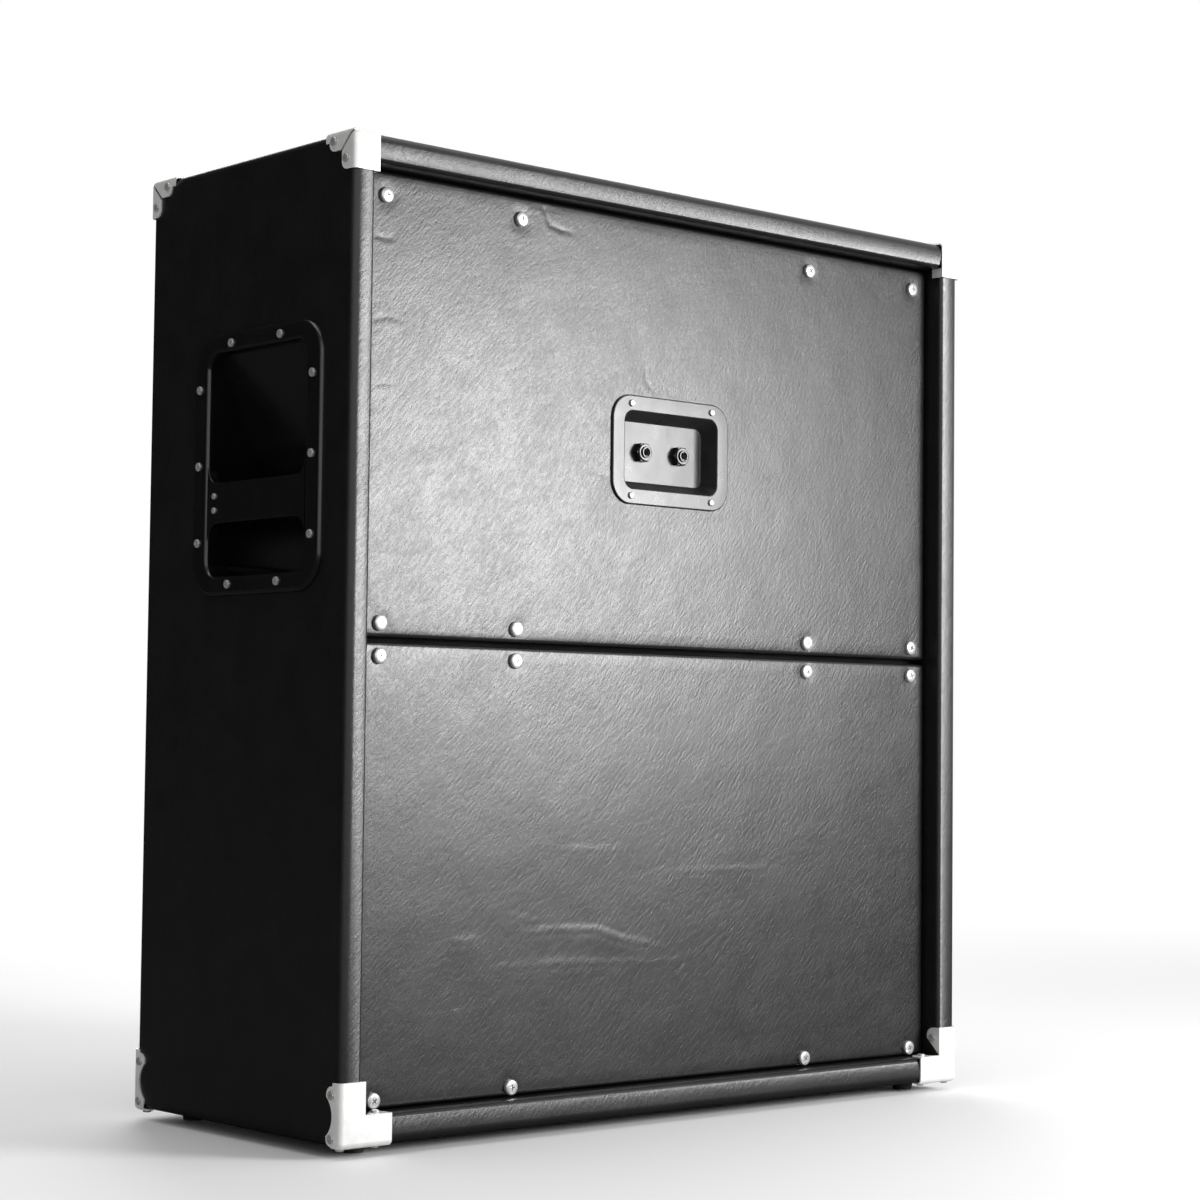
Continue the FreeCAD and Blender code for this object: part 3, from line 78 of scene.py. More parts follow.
def brightness(name, text, default):
    """A level of light that a user may change."""
    return FloatProperty(name=name, description=text, default=default, min=0.0)


class CabinetSizes(bpy.types.PropertyGroup):
    """Sizes of the covering, the fittings and their small forms."""

    wall: length("Wall", "Covered wall, from the outside to the recess", 21.4)
    vinyl: length("Vinyl", "Thickness of the covering on the box", 1.2)
    outer_rounding: length("Outer rounding", "Radius along the box's outer edges", 7.3)
    rim_rounding: length("Rim rounding", "Radius where the covering turns into the recess", 5)
    rim_easing: length("Rim easing", "Radius of the slow curve across the rim's face", 29)
    skin: length("Panel skin", "Thickness of the vinyl on the back panels", 1.0)
    skin_rounding: length("Panel rounding", "Radius along the back panels' edges", 3)
    skin_cell: length("Panel mesh", "Width of the panel skin's mesh cells", 3)
    pillow: length("Pillow", "How far the panel's skin swells over the board", 0.25)
    wave: length("Waves", "Height of the slow waves in the panel's skin", 0.45)
    dimple: length("Dimples", "How deep a screw pulls the skin in", 0.45)
    crease: length("Creases", "Height of the folds in the panel's skin", 0.45)
    dish_border: length("Dish border", "Width of the flange round the jack dish", 12.7)
    dish_corner: length("Dish corner", "Radius of the jack dish's corners", 19)
    dish_opening: length("Dish opening corner", "Radius of the corners of the dish's opening", 9)
    dish_depth: length("Dish depth", "Depth of the jack dish from its face", 15)
    dish_draft_across: length("Dish draft across", "How far the dish's end walls lean in", 5)
    dish_draft_up: length("Dish draft up", "How far the dish's upper and lower walls lean in", 6)
    dish_wall: length("Dish wall", "Thickness of the jack dish", 2.4)
    handle_corner: length("Handle corner", "Radius of the handle flange's corners", 28)
    handle_wall: length("Handle wall", "Thickness of the handle's cup", 3)
    cup_lip: length("Cup lip", "Depth of the cup at its top", 10)
    bar_flare: length("Bar flare", "Radius where the handle's bar spreads at its ends", 12)
    weave: length("Weave", "Pitch of the grille cloth's threads", 1.6)


class CabinetColours(bpy.types.PropertyGroup):
    """Colours of the finishes."""

    vinyl: colour("Vinyl", "Covering of the box and the back panels", (0.0064, 0.0066, 0.0066))
    handle: colour("Handle", "Moulded handles", (0.0036, 0.0037, 0.0037))
    dish: colour("Dish", "Moulded jack dish", (0.016, 0.016, 0.017))
    nickel: colour("Nickel", "Plated corners", (0.80, 0.80, 0.79))
    screw: colour("Screws", "Zinc plated screws", (0.56, 0.56, 0.55))
    rubber: colour("Rubber", "Feet", (0.014, 0.014, 0.014))
    grille: colour("Grille", "Cloth over the front", (0.018, 0.018, 0.019))
    floor: colour("Floor", "Plain floor under the cabinet", (0.80, 0.80, 0.80))


class CabinetLight(bpy.types.PropertyGroup):
    """Levels of the studio light."""

    key: brightness("Key", "Softbox behind the cabinet, in watts", 48.0)
    overhead: brightness("Overhead", "Soft light from above, in watts", 26.0)
    fill: brightness("Fill", "Soft light on the front, in watts", 30.0)
    ambient: brightness("Ambient", "Even light from all round", 0.50)


# ---------------------------------------------------------------- modelling by hand

def corners(node):
    """A CAD node's lowest and highest corner."""
    return [Vector(corner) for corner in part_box(node)]


def deselect():
    if bpy.context.object and bpy.context.object.mode != "OBJECT":
        bpy.ops.object.mode_set(mode="OBJECT")
    bpy.ops.object.select_all(action="DESELECT")


def activate(piece):
    deselect()
    piece.select_set(True)
    bpy.context.view_layer.objects.active = piece


@contextmanager
def editing(piece):
    """Edit mode on one piece."""
    activate(piece)
    bpy.ops.object.mode_set(mode="EDIT")
    yield
    bpy.ops.object.mode_set(mode="OBJECT")


def pick(kind, test):
    """Selects, in edit mode, the points, edges or faces that a test names."""
    bpy.ops.mesh.select_mode(type=kind)
    bpy.ops.mesh.select_all(action="DESELECT")
    mesh = bpy.context.edit_object.data
    shape = bmesh.from_edit_mesh(mesh)
    items = {"VERT": shape.verts, "EDGE": shape.edges, "FACE": shape.faces}[kind]
    chosen = [item for item in items if test(item)]
    if not chosen:
        raise RuntimeError("nothing to select on %s" % bpy.context.edit_object.name)
    for item in chosen:
        item.select_set(True)
    shape.select_flush_mode()
    bmesh.update_edit_mesh(mesh)


def pick_points(test):
    pick("VERT", lambda point: test(point.co))


def pick_edges(test):
    """Selects the edges with both ends where a test says."""
    pick("EDGE", lambda edge: all(test(point.co) for point in edge.verts))


def runs_along(edge, axis):
    start, end = edge.verts
    return abs((start.co - end.co).normalized()[axis]) > 0.99


def pick_facing(axis, side=1, least=0.9):
    """Selects the faces that look along an axis, or against it."""
    pick("FACE", lambda face: face.normal[axis] * side > least)


def pick_all():
    bpy.ops.mesh.select_all(action="SELECT")


def push(offset):
    """Extrudes what is selected."""
    bpy.ops.mesh.extrude_region_move(TRANSFORM_OT_translate={"value": tuple(offset)})


def inset(thickness, depth=0.0):
    bpy.ops.mesh.inset(thickness=thickness, depth=depth)


def slide(offset):
    bpy.ops.transform.translate(value=offset)


def draw_out(height, falloff, reach):
    """Moves what is selected along Y, and what lies round it less and less."""
    bpy.ops.transform.translate(value=(0, height, 0), use_proportional_edit=True, proportional_edit_falloff=falloff,
                                proportional_size=reach)


def widen(scale, centre):
    bpy.ops.transform.resize(value=scale, center_override=tuple(centre))


def round_off(radius, segments):
    bpy.ops.mesh.bevel(offset=radius, segments=segments, profile=0.5, affect="EDGES", clamp_overlap=True)


def remove_faces():
    bpy.ops.mesh.delete(type="FACE")


def mend(piece):
    """Merges doubles and turns the faces outwards."""
    with editing(piece):
        pick_all()
        bpy.ops.mesh.remove_doubles(threshold=1e-6)
        bpy.ops.mesh.normals_make_consistent(inside=False)


def settle(name):
    """Applies the active object's place, turn and size, and names it."""
    bpy.ops.object.transform_apply(location=True, rotation=True, scale=True)
    piece = bpy.context.object
    piece.name = piece.data.name = name
    return piece


def add_block(name, low, high):
    low, high = Vector(low), Vector(high)
    deselect()
    bpy.ops.mesh.primitive_cube_add(size=1, location=(low + high) / 2)
    bpy.context.object.scale = high - low
    return settle(name)


def add_plate(name, axis, low, high, corner, segments=8):
    """A block whose four edges along one axis are rounded."""
    piece = add_block(name, low, high)
    with editing(piece):
        pick("EDGE", lambda edge: runs_along(edge, axis))
        round_off(corner, segments)
    return piece


def add_rod(name, axis, centre, radius, start, end, sides=32, roll=0.0):
    """A cylinder along Y or Z, from start to end; roll turns one that lies along Y."""
    place = Vector(centre)
    place[axis] = (start + end) / 2
    deselect()
    bpy.ops.mesh.primitive_cylinder_add(vertices=sides, radius=radius, depth=abs(end - start), location=place,
                                        rotation=(math.pi / 2, roll, 0) if axis == 1 else (0, 0, 0))
    return settle(name)


def apply_modifier(piece, kind, **settings):
    activate(piece)
    modifier = piece.modifiers.new(kind.title(), kind)
    for key, value in settings.items():
        setattr(modifier, key, value)
    bpy.ops.object.modifier_apply(modifier=modifier.name)


def cut_away(piece, *cutters):
    for cutter in cutters:
        apply_modifier(piece, "BOOLEAN", operation="DIFFERENCE", solver="EXACT", object=cutter)
        bpy.data.objects.remove(cutter)


def thicken(piece, wall):
    """Gives a skin its wall, behind the face that shows."""
    apply_modifier(piece, "SOLIDIFY", thickness=wall, offset=-1.0, use_even_offset=True)


def join(name, pieces):
    """One object, at the origin, out of several."""
    deselect()
    for piece in pieces:
        piece.select_set(True)
    bpy.context.view_layer.objects.active = pieces[0]
    if len(pieces) > 1:
        bpy.ops.object.join()
    return settle(name)


def duplicate(piece, matrix=None):
    twin = piece.copy()
    twin.data = piece.data.copy()
    bpy.context.collection.objects.link(twin)
    if matrix is not None:
        twin.matrix_world = matrix
    return twin


def reflected(piece, name):
    """The same piece on the cabinet's other side."""
    activate(duplicate(piece, Matrix.Scale(-1, 4, (1, 0, 0))))
    twin = settle(name)
    with editing(twin):
        pick_all()
        bpy.ops.mesh.flip_normals()
    return twin


def merged_copy(name, node):
    """A bare new piece on a CAD node's shape, with its triangles joined up."""
    twin = duplicate(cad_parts[node])
    twin.parent = None
    twin.name = twin.data.name = name
    for key in list(twin.keys()):
        del twin[key]
    with editing(twin):
        pick_all()
        bpy.ops.mesh.remove_doubles(threshold=2e-6)
        bpy.ops.mesh.customdata_custom_splitnormals_clear()
    twin.data.materials.clear()
    return twin


def complete(piece, finish, node, angle=35, weighted=True):
    """Shading, finish and ties to the frame."""
    activate(piece)
    bpy.ops.object.shade_smooth_by_angle(angle=math.radians(angle))
    if weighted:
        apply_modifier(piece, "WEIGHTED_NORMAL", keep_sharp=True)
    if not piece.data.materials:
        piece.data.materials.append(finish_of(finish))
    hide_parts(node)
    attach(piece, "cabinet")


# ---------------------------------------------------------------- finishes

def feed(tree, item, values):
    """Sets a node's inputs, each to a value or from another node's socket."""
    for key, value in values.items():
        if isinstance(value, bpy.types.NodeSocket):
            tree.links.new(value, item.inputs[key])
        else:
            item.inputs[key].default_value = value


def add_node(tree, kind, values=None, **settings):
    item = tree.nodes.new("ShaderNode" + kind)
    for key, value in settings.items():
        setattr(item, key, value)
    feed(tree, item, values or {})
    return item


def maths(tree, operation, *values):
    return add_node(tree, "Math", dict(enumerate(values)), operation=operation).outputs[0]


def blended(tree, *parts):
    """Adds up sockets, each by its share."""
    total = 0.0
    for socket, share in parts:
        total = maths(tree, "MULTIPLY_ADD", socket, share, total)
    return total


def ramp(tree, socket, low, high, start=0.0, end=1.0):
    return add_node(tree, "MapRange", {"Value": socket, "From Min": low, "From Max": high, "To Min": start,
                                       "To Max": end}, interpolation_type="SMOOTHSTEP").outputs["Result"]


def mixed(tree, share, first, second):
    return add_node(tree, "Mix", {0: share, 2: first, 3: second}, data_type="FLOAT").outputs[0]


def tinted(tree, share, first, second):
    return add_node(tree, "Mix", {0: share, 6: (*first, 1.0), 7: (*second, 1.0)}, data_type="RGBA").outputs[2]


def scaled(tree, vector, size, slant=0):
    """The pattern's place, turned about Y by some degrees and then packed closer by size."""
    return add_node(tree, "Mapping", {"Vector": vector, "Scale": [1 / part for part in size],
                                      "Rotation": (0, math.radians(slant), 0)},
                    vector_type="TEXTURE").outputs["Vector"]


def noise(tree, vector, scale, detail=2.0, roughness=0.5, distortion=0.0):
    return add_node(tree, "TexNoise", {"Vector": vector, "Scale": scale, "Detail": detail, "Roughness": roughness,
                                       "Distortion": distortion}).outputs["Fac"]


def leather_grain(tree, place):
    """Embossed vinyl: fine slanting strokes, small pebbles, thin creases and slow mottling."""
    strokes = noise(tree, scaled(tree, place, (0.25, 1, 1), 47), 560.0, 3.0, 0.6, 0.3)
    across = noise(tree, scaled(tree, place, (0.40, 1, 1), 70), 480.0, 3.0, 0.6, 0.3)
    cells = add_node(tree, "TexVoronoi", {"Vector": place, "Scale": 760.0}, feature="DISTANCE_TO_EDGE")
    pebble = ramp(tree, cells.outputs["Distance"], 0.0, 0.35)
    crease = noise(tree, scaled(tree, place, (0.5, 1, 1.3), 15), 70.0, 4.0, 0.6, 0.9)
    line = ramp(tree, maths(tree, "ABSOLUTE", maths(tree, "SUBTRACT", crease, 0.5)), 0.0, 0.016, 1.0, 0.0)
    marks = maths(tree, "MULTIPLY", line, ramp(tree, noise(tree, place, 24.0), 0.56, 0.74))
    drawn = blended(tree, (strokes, 0.6), (across, 0.4))
    soft = noise(tree, scaled(tree, place, (0.7, 1, 1), 20), 34.0, 3.0, 0.5, 0.3)
    return (blended(tree, (soft, 0.6), (strokes, 0.4)),
            blended(tree, (soft, 0.3), (strokes, 0.6), (pebble, 0.1)),
            blended(tree, (drawn, 0.66), (pebble, 0.04), (marks, -0.05), (soft, 0.36)))


def moulded_plastic(tree, place, spark_share):
    """Moulded plastic: fine spark texture and faint handling marks."""
    spark = noise(tree, place, 900.0, 2.0, 0.6)
    smear = noise(tree, scaled(tree, place, (1, 1, 0.5)), 55.0, 4.0, 0.6, 0.5)
    grit = maths(tree, "MULTIPLY", spark, spark_share)
    return smear, blended(tree, (smear, 0.8), (spark, 0.2)), blended(tree, (grit, 0.5), (smear, 0.5))


def plated_metal(tree, place, scratch):
    """Plated sheet: hairline polishing marks, cloudy tarnish and small dents."""
    hair = noise(tree, scaled(tree, place, (9, 9, 1.2)), 160.0, 3.0, 0.65)
    cloud = noise(tree, place, 85.0, 4.0, 0.6, 0.3)
    dents = noise(tree, place, 160.0, 1.0)
    rub = maths(tree, "MULTIPLY", hair, scratch)
    return (blended(tree, (cloud, 0.7), (hair, 0.3)), blended(tree, (cloud, 0.6), (rub, 0.4)),
            blended(tree, (rub, 0.3), (dents, 0.7)))


def woven_cloth(tree, place, pitch):
    """Two sets of crossing threads, over and under each other."""
    x, y, z = add_node(tree, "SeparateXYZ", {0: place}).outputs
    waves = [maths(tree, "SINE", maths(tree, "MULTIPLY", maths(tree, "DIVIDE", way, pitch), math.pi))
             for way in (maths(tree, "ADD", x, y), z)]
    thread = ramp(tree, maths(tree, "MULTIPLY", *waves), -1.0, 1.0)
    fuzz = noise(tree, place, 1300.0)
    slub = noise(tree, scaled(tree, place, (0.1, 1, 1)), 260.0)
    return blended(tree, (thread, 0.6), (slub, 0.4)), fuzz, blended(tree, (thread, 0.75), (fuzz, 0.25))


def sheet_wood(tree, place, vein_share):
    """Plywood: long grain, thin dark veins and a few pores."""
    grain = noise(tree, scaled(tree, place, (0.12, 1, 1)), 150.0, 4.0, 0.6, 0.4)
    vein = noise(tree, scaled(tree, place, (0.05, 1, 1)), 60.0, 3.0, 0.5, 1.2)
    pores = noise(tree, scaled(tree, place, (0.2, 1, 1)), 900.0)
    dark = maths(tree, "MULTIPLY", vein, vein_share)
    return blended(tree, (grain, 0.5), (dark, 0.5)), grain, blended(tree, (grain, 0.5), (pores, 0.5))


def pressed_fibre(tree, place, size):
    """Paper, felt and doped cloth: matted short fibres."""
    fibres = noise(tree, place, size, 5.0, 0.65, 1.2)
    return blended(tree, (noise(tree, place, 40.0, 3.0), 0.5), (fibres, 0.5)), fibres, fibres


LEATHER, PLASTIC, METAL = "Leather grain", "Moulded plastic", "Plated metal"
CLOTH, WOOD, FIBRE = "Woven cloth", "Sheet wood", "Pressed fibre"
# each surface's pattern of nodes, and its inputs besides the place
SURFACES = {LEATHER: (leather_grain, {}), PLASTIC: (moulded_plastic, {"Spark": 1.0}),
            METAL: (plated_metal, {"Scratch": 1.0}), CLOTH: (woven_cloth, {"Pitch": 0.0016}),
            WOOD: (sheet_wood, {"Veins": 1.0}), FIBRE: (pressed_fibre, {"Size": 300.0})}
READINGS = ("Tone", "Gloss", "Height")


def surface_group(name):
    """The node group that turns a place on a surface into its tone, gloss and height."""
    if name in bpy.data.node_groups:
        return bpy.data.node_groups[name]
    pattern, extra = SURFACES[name]
    tree = bpy.data.node_groups.new(name, "ShaderNodeTree")
    tree.interface.new_socket(name="Vector", in_out="INPUT", socket_type="NodeSocketVector")
    for label, default in extra.items():
        socket = tree.interface.new_socket(name=label, in_out="INPUT", socket_type="NodeSocketFloat")
        socket.default_value = default
    for label in READINGS:
        tree.interface.new_socket(name=label, in_out="OUTPUT", socket_type="NodeSocketFloat")
    start, end = tree.nodes.new("NodeGroupInput"), tree.nodes.new("NodeGroupOutput")
    sockets = pattern(tree, *[start.outputs[label] for label in ("Vector", *extra)])
    feed(tree, end, dict(zip(READINGS, sockets)))
    return tree


def build_finish(name, surface, values, dark, light, gloss, bump, metallic=0.0, specular=0.5):
    """A material: one surface's tone, gloss and height on a Principled shader."""
    material = bpy.data.materials.new(name)
    material.use_nodes = True
    material.diffuse_color = (*light, 1.0)
    tree = material.node_tree
    place = add_node(tree, "TexCoord").outputs["Object"]
    tone, shine, height = add_node(tree, "Group", {"Vector": place, **values},
                                   node_tree=surface_group(surface)).outputs
    relief = add_node(tree, "Bump", {"Strength": bump[0], "Distance": bump[1], "Height": height})
    feed(tree, tree.nodes["Principled BSDF"], {
        "Base Color": tinted(tree, ramp(tree, tone, 0.3, 0.7), dark, light),
        "Roughness": ramp(tree, shine, 0.3, 0.7, *gloss),
        "Normal": relief.outputs["Normal"], "Metallic": metallic, "Specular IOR Level": specular})
    return material


def shade(tint, factor):
    return tuple(min(1.0, part * factor) for part in tint)


def grey(level):
    return (level, level, level)


def finish_of(slot):
    """The finish of a material slot, built when it is first asked for."""
    name = "finish_" + slot
    if name in bpy.data.materials:
        return bpy.data.materials[name]
    tints = bpy.context.scene.cabinet_colours
    vinyl, handle, dish, nickel = tints.vinyl, tints.handle, tints.dish, tints.nickel
    screw, rubber, grille = tints.screw, tints.rubber, tints.grille
    pitch = bpy.context.scene.cabinet_sizes.weave
    # surface and its own values, dark and light tone, roughness, strength and height of the bump, then metallic
    # and specular level where they aren't the shader's own
    recipes = {
        "black_vinyl": (LEATHER, {}, shade(vinyl, 0.8), shade(vinyl, 1.25), (0.29, 0.39), (1.0, 0.00045)),
        "handle_plastic": (PLASTIC, {"Spark": 0.4}, shade(handle, 0.85), shade(handle, 1.2), (0.17, 0.27),
                           (0.25, 0.0002), 0.0, 0.6),
        "dish_plastic": (PLASTIC, {"Spark": 1.0}, shade(dish, 0.9), shade(dish, 1.15), (0.26, 0.34),
                         (0.35, 0.00012)),
        "jack_plastic": (PLASTIC, {"Spark": 0.6}, grey(0.008), grey(0.014), (0.22, 0.32), (0.2, 0.0001)),
        "nickel_plate": (METAL, {}, shade(nickel, 0.88), shade(nickel, 1.0), (0.28, 0.40), (0.1, 0.0001), 0.3),
        "bright_screw": (METAL, {"Scratch": 0.6}, shade(screw, 0.9), shade(screw, 1.0), (0.24, 0.36),
                         (0.2, 0.00006), 0.6),
        "plated_steel": (METAL, {}, (0.46, 0.45, 0.43), (0.58, 0.57, 0.55), (0.28, 0.44), (0.3, 0.0001), 1.0),
        "coil_brass": (METAL, {}, (0.60, 0.40, 0.14), (0.74, 0.53, 0.22), (0.24, 0.42), (0.3, 0.0001), 1.0),
        "foot_rubber": (PLASTIC, {"Spark": 1.5}, shade(rubber, 0.8), shade(rubber, 1.4), (0.62, 0.82),
                        (0.5, 0.0002)),
        "grille_weave": (CLOTH, {"Pitch": pitch}, shade(grille, 0.5), shade(grille, 1.9), (0.70, 0.92),
                         (0.8, 0.0005)),
        "plywood": (WOOD, {}, (0.34, 0.21, 0.11), (0.60, 0.43, 0.26), (0.5, 0.7), (0.4, 0.0003)),
        "black_board": (WOOD, {"Veins": 0.5}, grey(0.004), grey(0.010), (0.75, 0.95), (0.4, 0.0003), 0.0, 0.15),
        "basket_paint": (PLASTIC, {"Spark": 1.2}, (0.012, 0.012, 0.013), (0.024, 0.024, 0.025), (0.38, 0.52),
                         (0.3, 0.0002)),
        "ferrite": (PLASTIC, {"Spark": 1.6}, (0.028, 0.028, 0.030), (0.050, 0.050, 0.052), (0.5, 0.7),
                    (0.4, 0.0003)),
        "cone_paper": (FIBRE, {"Size": 420.0}, (0.020, 0.019, 0.018), (0.045, 0.043, 0.040), (0.75, 0.95),
                       (0.6, 0.0004)),
        "treated_cloth": (CLOTH, {"Pitch": 0.0011}, grey(0.012), (0.030, 0.029, 0.028), (0.5, 0.7),
                          (0.6, 0.0003)),
        "spider_cloth": (CLOTH, {"Pitch": 0.0012}, (0.30, 0.17, 0.06), (0.52, 0.33, 0.14), (0.7, 0.9),
                         (0.7, 0.0004)),
        "gasket_card": (FIBRE, {"Size": 260.0}, (0.10, 0.085, 0.07), (0.17, 0.15, 0.12), (0.8, 0.95),
                        (0.5, 0.0003)),
        "lead_cover": (PLASTIC, {"Spark": 0.8}, (0.010, 0.010, 0.011), (0.022, 0.022, 0.023), (0.40, 0.55),
                       (0.3, 0.0001)),
        "pad_felt": (FIBRE, {"Size": 700.0}, grey(0.03), grey(0.07), (0.85, 1.0), (0.8, 0.0006)),
    }
    return build_finish(name, *recipes[slot])


# ---------------------------------------------------------------- pieces

RIM_LEAN = math.radians(18)
CUP_HOLE_MARGIN = Vector((0, 16 * MM, 12 * MM))
CUP_HOLE_CORNER = 17 * MM
CUP_HOLE_REACH = (0.300, 0.345)


class CABINET_OT_box_covering(bpy.types.Operator):
    """Wrap the box in vinyl, from the back recess round to the front recess"""

    bl_idname = "cabinet.box_covering"
    bl_label = "Box Covering"

    def execute(self, context):
        sizes = context.scene.cabinet_sizes
        low, high = corners("vinyl_covering")
        back_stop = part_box("upper_back_vinyl")[0][1]
        front_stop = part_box("baffle_board")[0][1]
        piece = add_block("box_covering", low, high)
        with editing(piece):
            pick_all()
            round_off(sizes.outer_rounding, 6)
            for side, face, stop in ((1, high.y, back_stop), (-1, low.y, front_stop)):
                pick_facing(1, side, SQUARE)
                across, rise = 0.0, 0.0
                for next_across, next_rise in self.rim(sizes):
                    inset(next_across - across, next_rise - rise)
                    across, rise = next_across, next_rise
                push((0, stop - face - rise * side, 0))
                remove_faces()
        mend(piece)
        thicken(piece, sizes.vinyl)
        cup_low, cup_high = corners("handle_cup_right")
        cup_low, cup_high = cup_low + CUP_HOLE_MARGIN, cup_high - CUP_HOLE_MARGIN
        cutters = []
        for side in (1, -1):
            cup_low.x, cup_high.x = sorted(reach * side for reach in CUP_HOLE_REACH)
            cutters.append(add_plate("cup_hole", 0, cup_low, cup_high, CUP_HOLE_CORNER))
        cut_away(piece, *cutters)
        complete(piece, "black_vinyl", "vinyl_covering")
        return {"FINISHED"}

    @staticmethod
    def rim(sizes):
        """The rim's section from its outer edge inwards: flat, a slow curve, then the turn into the recess."""
        slow, quick = sizes.rim_easing, sizes.rim_rounding
        flat = sizes.wall - sizes.outer_rounding - quick - (slow - quick) * math.sin(RIM_LEAN)
        section = [(flat, 0.0)]
        for step in range(1, 7):
            turn = RIM_LEAN * step / 6
            section.append((flat + slow * math.sin(turn), slow * (math.cos(turn) - 1)))
        across, rise = section[-1]
        for step in range(1, 6):
            turn = RIM_LEAN + (math.pi / 2 - RIM_LEAN) * step / 5
            section.append((across + quick * (math.sin(turn) - math.sin(RIM_LEAN)),
                            rise - quick * (math.cos(RIM_LEAN) - math.cos(turn))))
        return section


# The folds that show in the back panels' skin: each one's share of the full height, less than 0 where it is drawn
# in, and where it runs, across and up.
UPPER_FOLDS = (
    (-0.55, ((0.139, 0.718), (0.135, 0.713), (0.131, 0.704), (0.119, 0.702), (0.107, 0.701))),
    (-0.35, ((0.028, 0.601), (0.027, 0.591), (0.020, 0.584))),
    (-0.35, ((0.089, 0.514), (0.077, 0.513), (0.066, 0.512))),
    (-0.45, ((0.300, 0.673), (0.291, 0.672), (0.283, 0.674))),
    (-0.45, ((0.302, 0.610), (0.287, 0.614), (0.276, 0.613))),
    (-0.40, ((0.301, 0.562), (0.290, 0.564), (0.281, 0.564))),
)
LOWER_FOLDS = (
    (0.60, ((0.150, 0.1545), (0.122, 0.156), (0.075, 0.155), (0.053, 0.1475), (0.003, 0.1375))),
    (0.28, ((0.196, 0.1265), (0.171, 0.129), (0.115, 0.130), (0.053, 0.128), (-0.009, 0.1257), (-0.043, 0.132))),
    (0.25, ((0.165, 0.168), (0.151, 0.166), (0.137, 0.163))),
    (0.35, ((0.2195, 0.1505), (0.196, 0.152))),
    (0.25, ((0.115, 0.2185), (0.084, 0.217), (0.050, 0.2165))),
    (0.25, ((0.003, 0.198), (-0.062, 0.198), (-0.127, 0.198))),
    (-0.30, ((-0.012, 0.116), (-0.020, 0.124))),
)
# A fold's section: how far below its path, share of its height, width picked, falloff and reach.
RAISED = ((0.0, 0.6, 0.8 * MM, "SMOOTH", 4.5 * MM), (5 * MM, 0.5, 1.6 * MM, "SMOOTH", 9 * MM),
          (11 * MM, 0.3, 1.8 * MM, "SMOOTH", 12 * MM))
DRAWN_IN = ((0.0, 1.0, 0.8 * MM, "SHARP", 4.5 * MM), (4 * MM, -0.4, 0.8 * MM, "SMOOTH", 6 * MM))
# A fold is raised in passes that taper it: how much of its path is left out at each end, and share of its height.
FOLD_PASSES = ((0.0, 0.35), (0.12, 0.35), (0.28, 0.30))
FOLD_SURROUND = 20 * MM
FOLD_BAND = 9 * MM
FOLD_STEP = 1.5 * MM
SKIN_FACE = 0.116
DISH_HOLE_REACH = (0.09, 0.13)
DISH_HOLE_CORNER, DISH_HOLE_SLACK = 12 * MM, 0.5 * MM
EDGE_FADE = 7 * MM
WAVE_WIDE, RIPPLE_WIDE, RIPPLE_SHARE = 75 * MM, 22 * MM, 0.28
DIMPLE_WIDE, DIMPLE_REACH = 4.5 * MM, 10 * MM


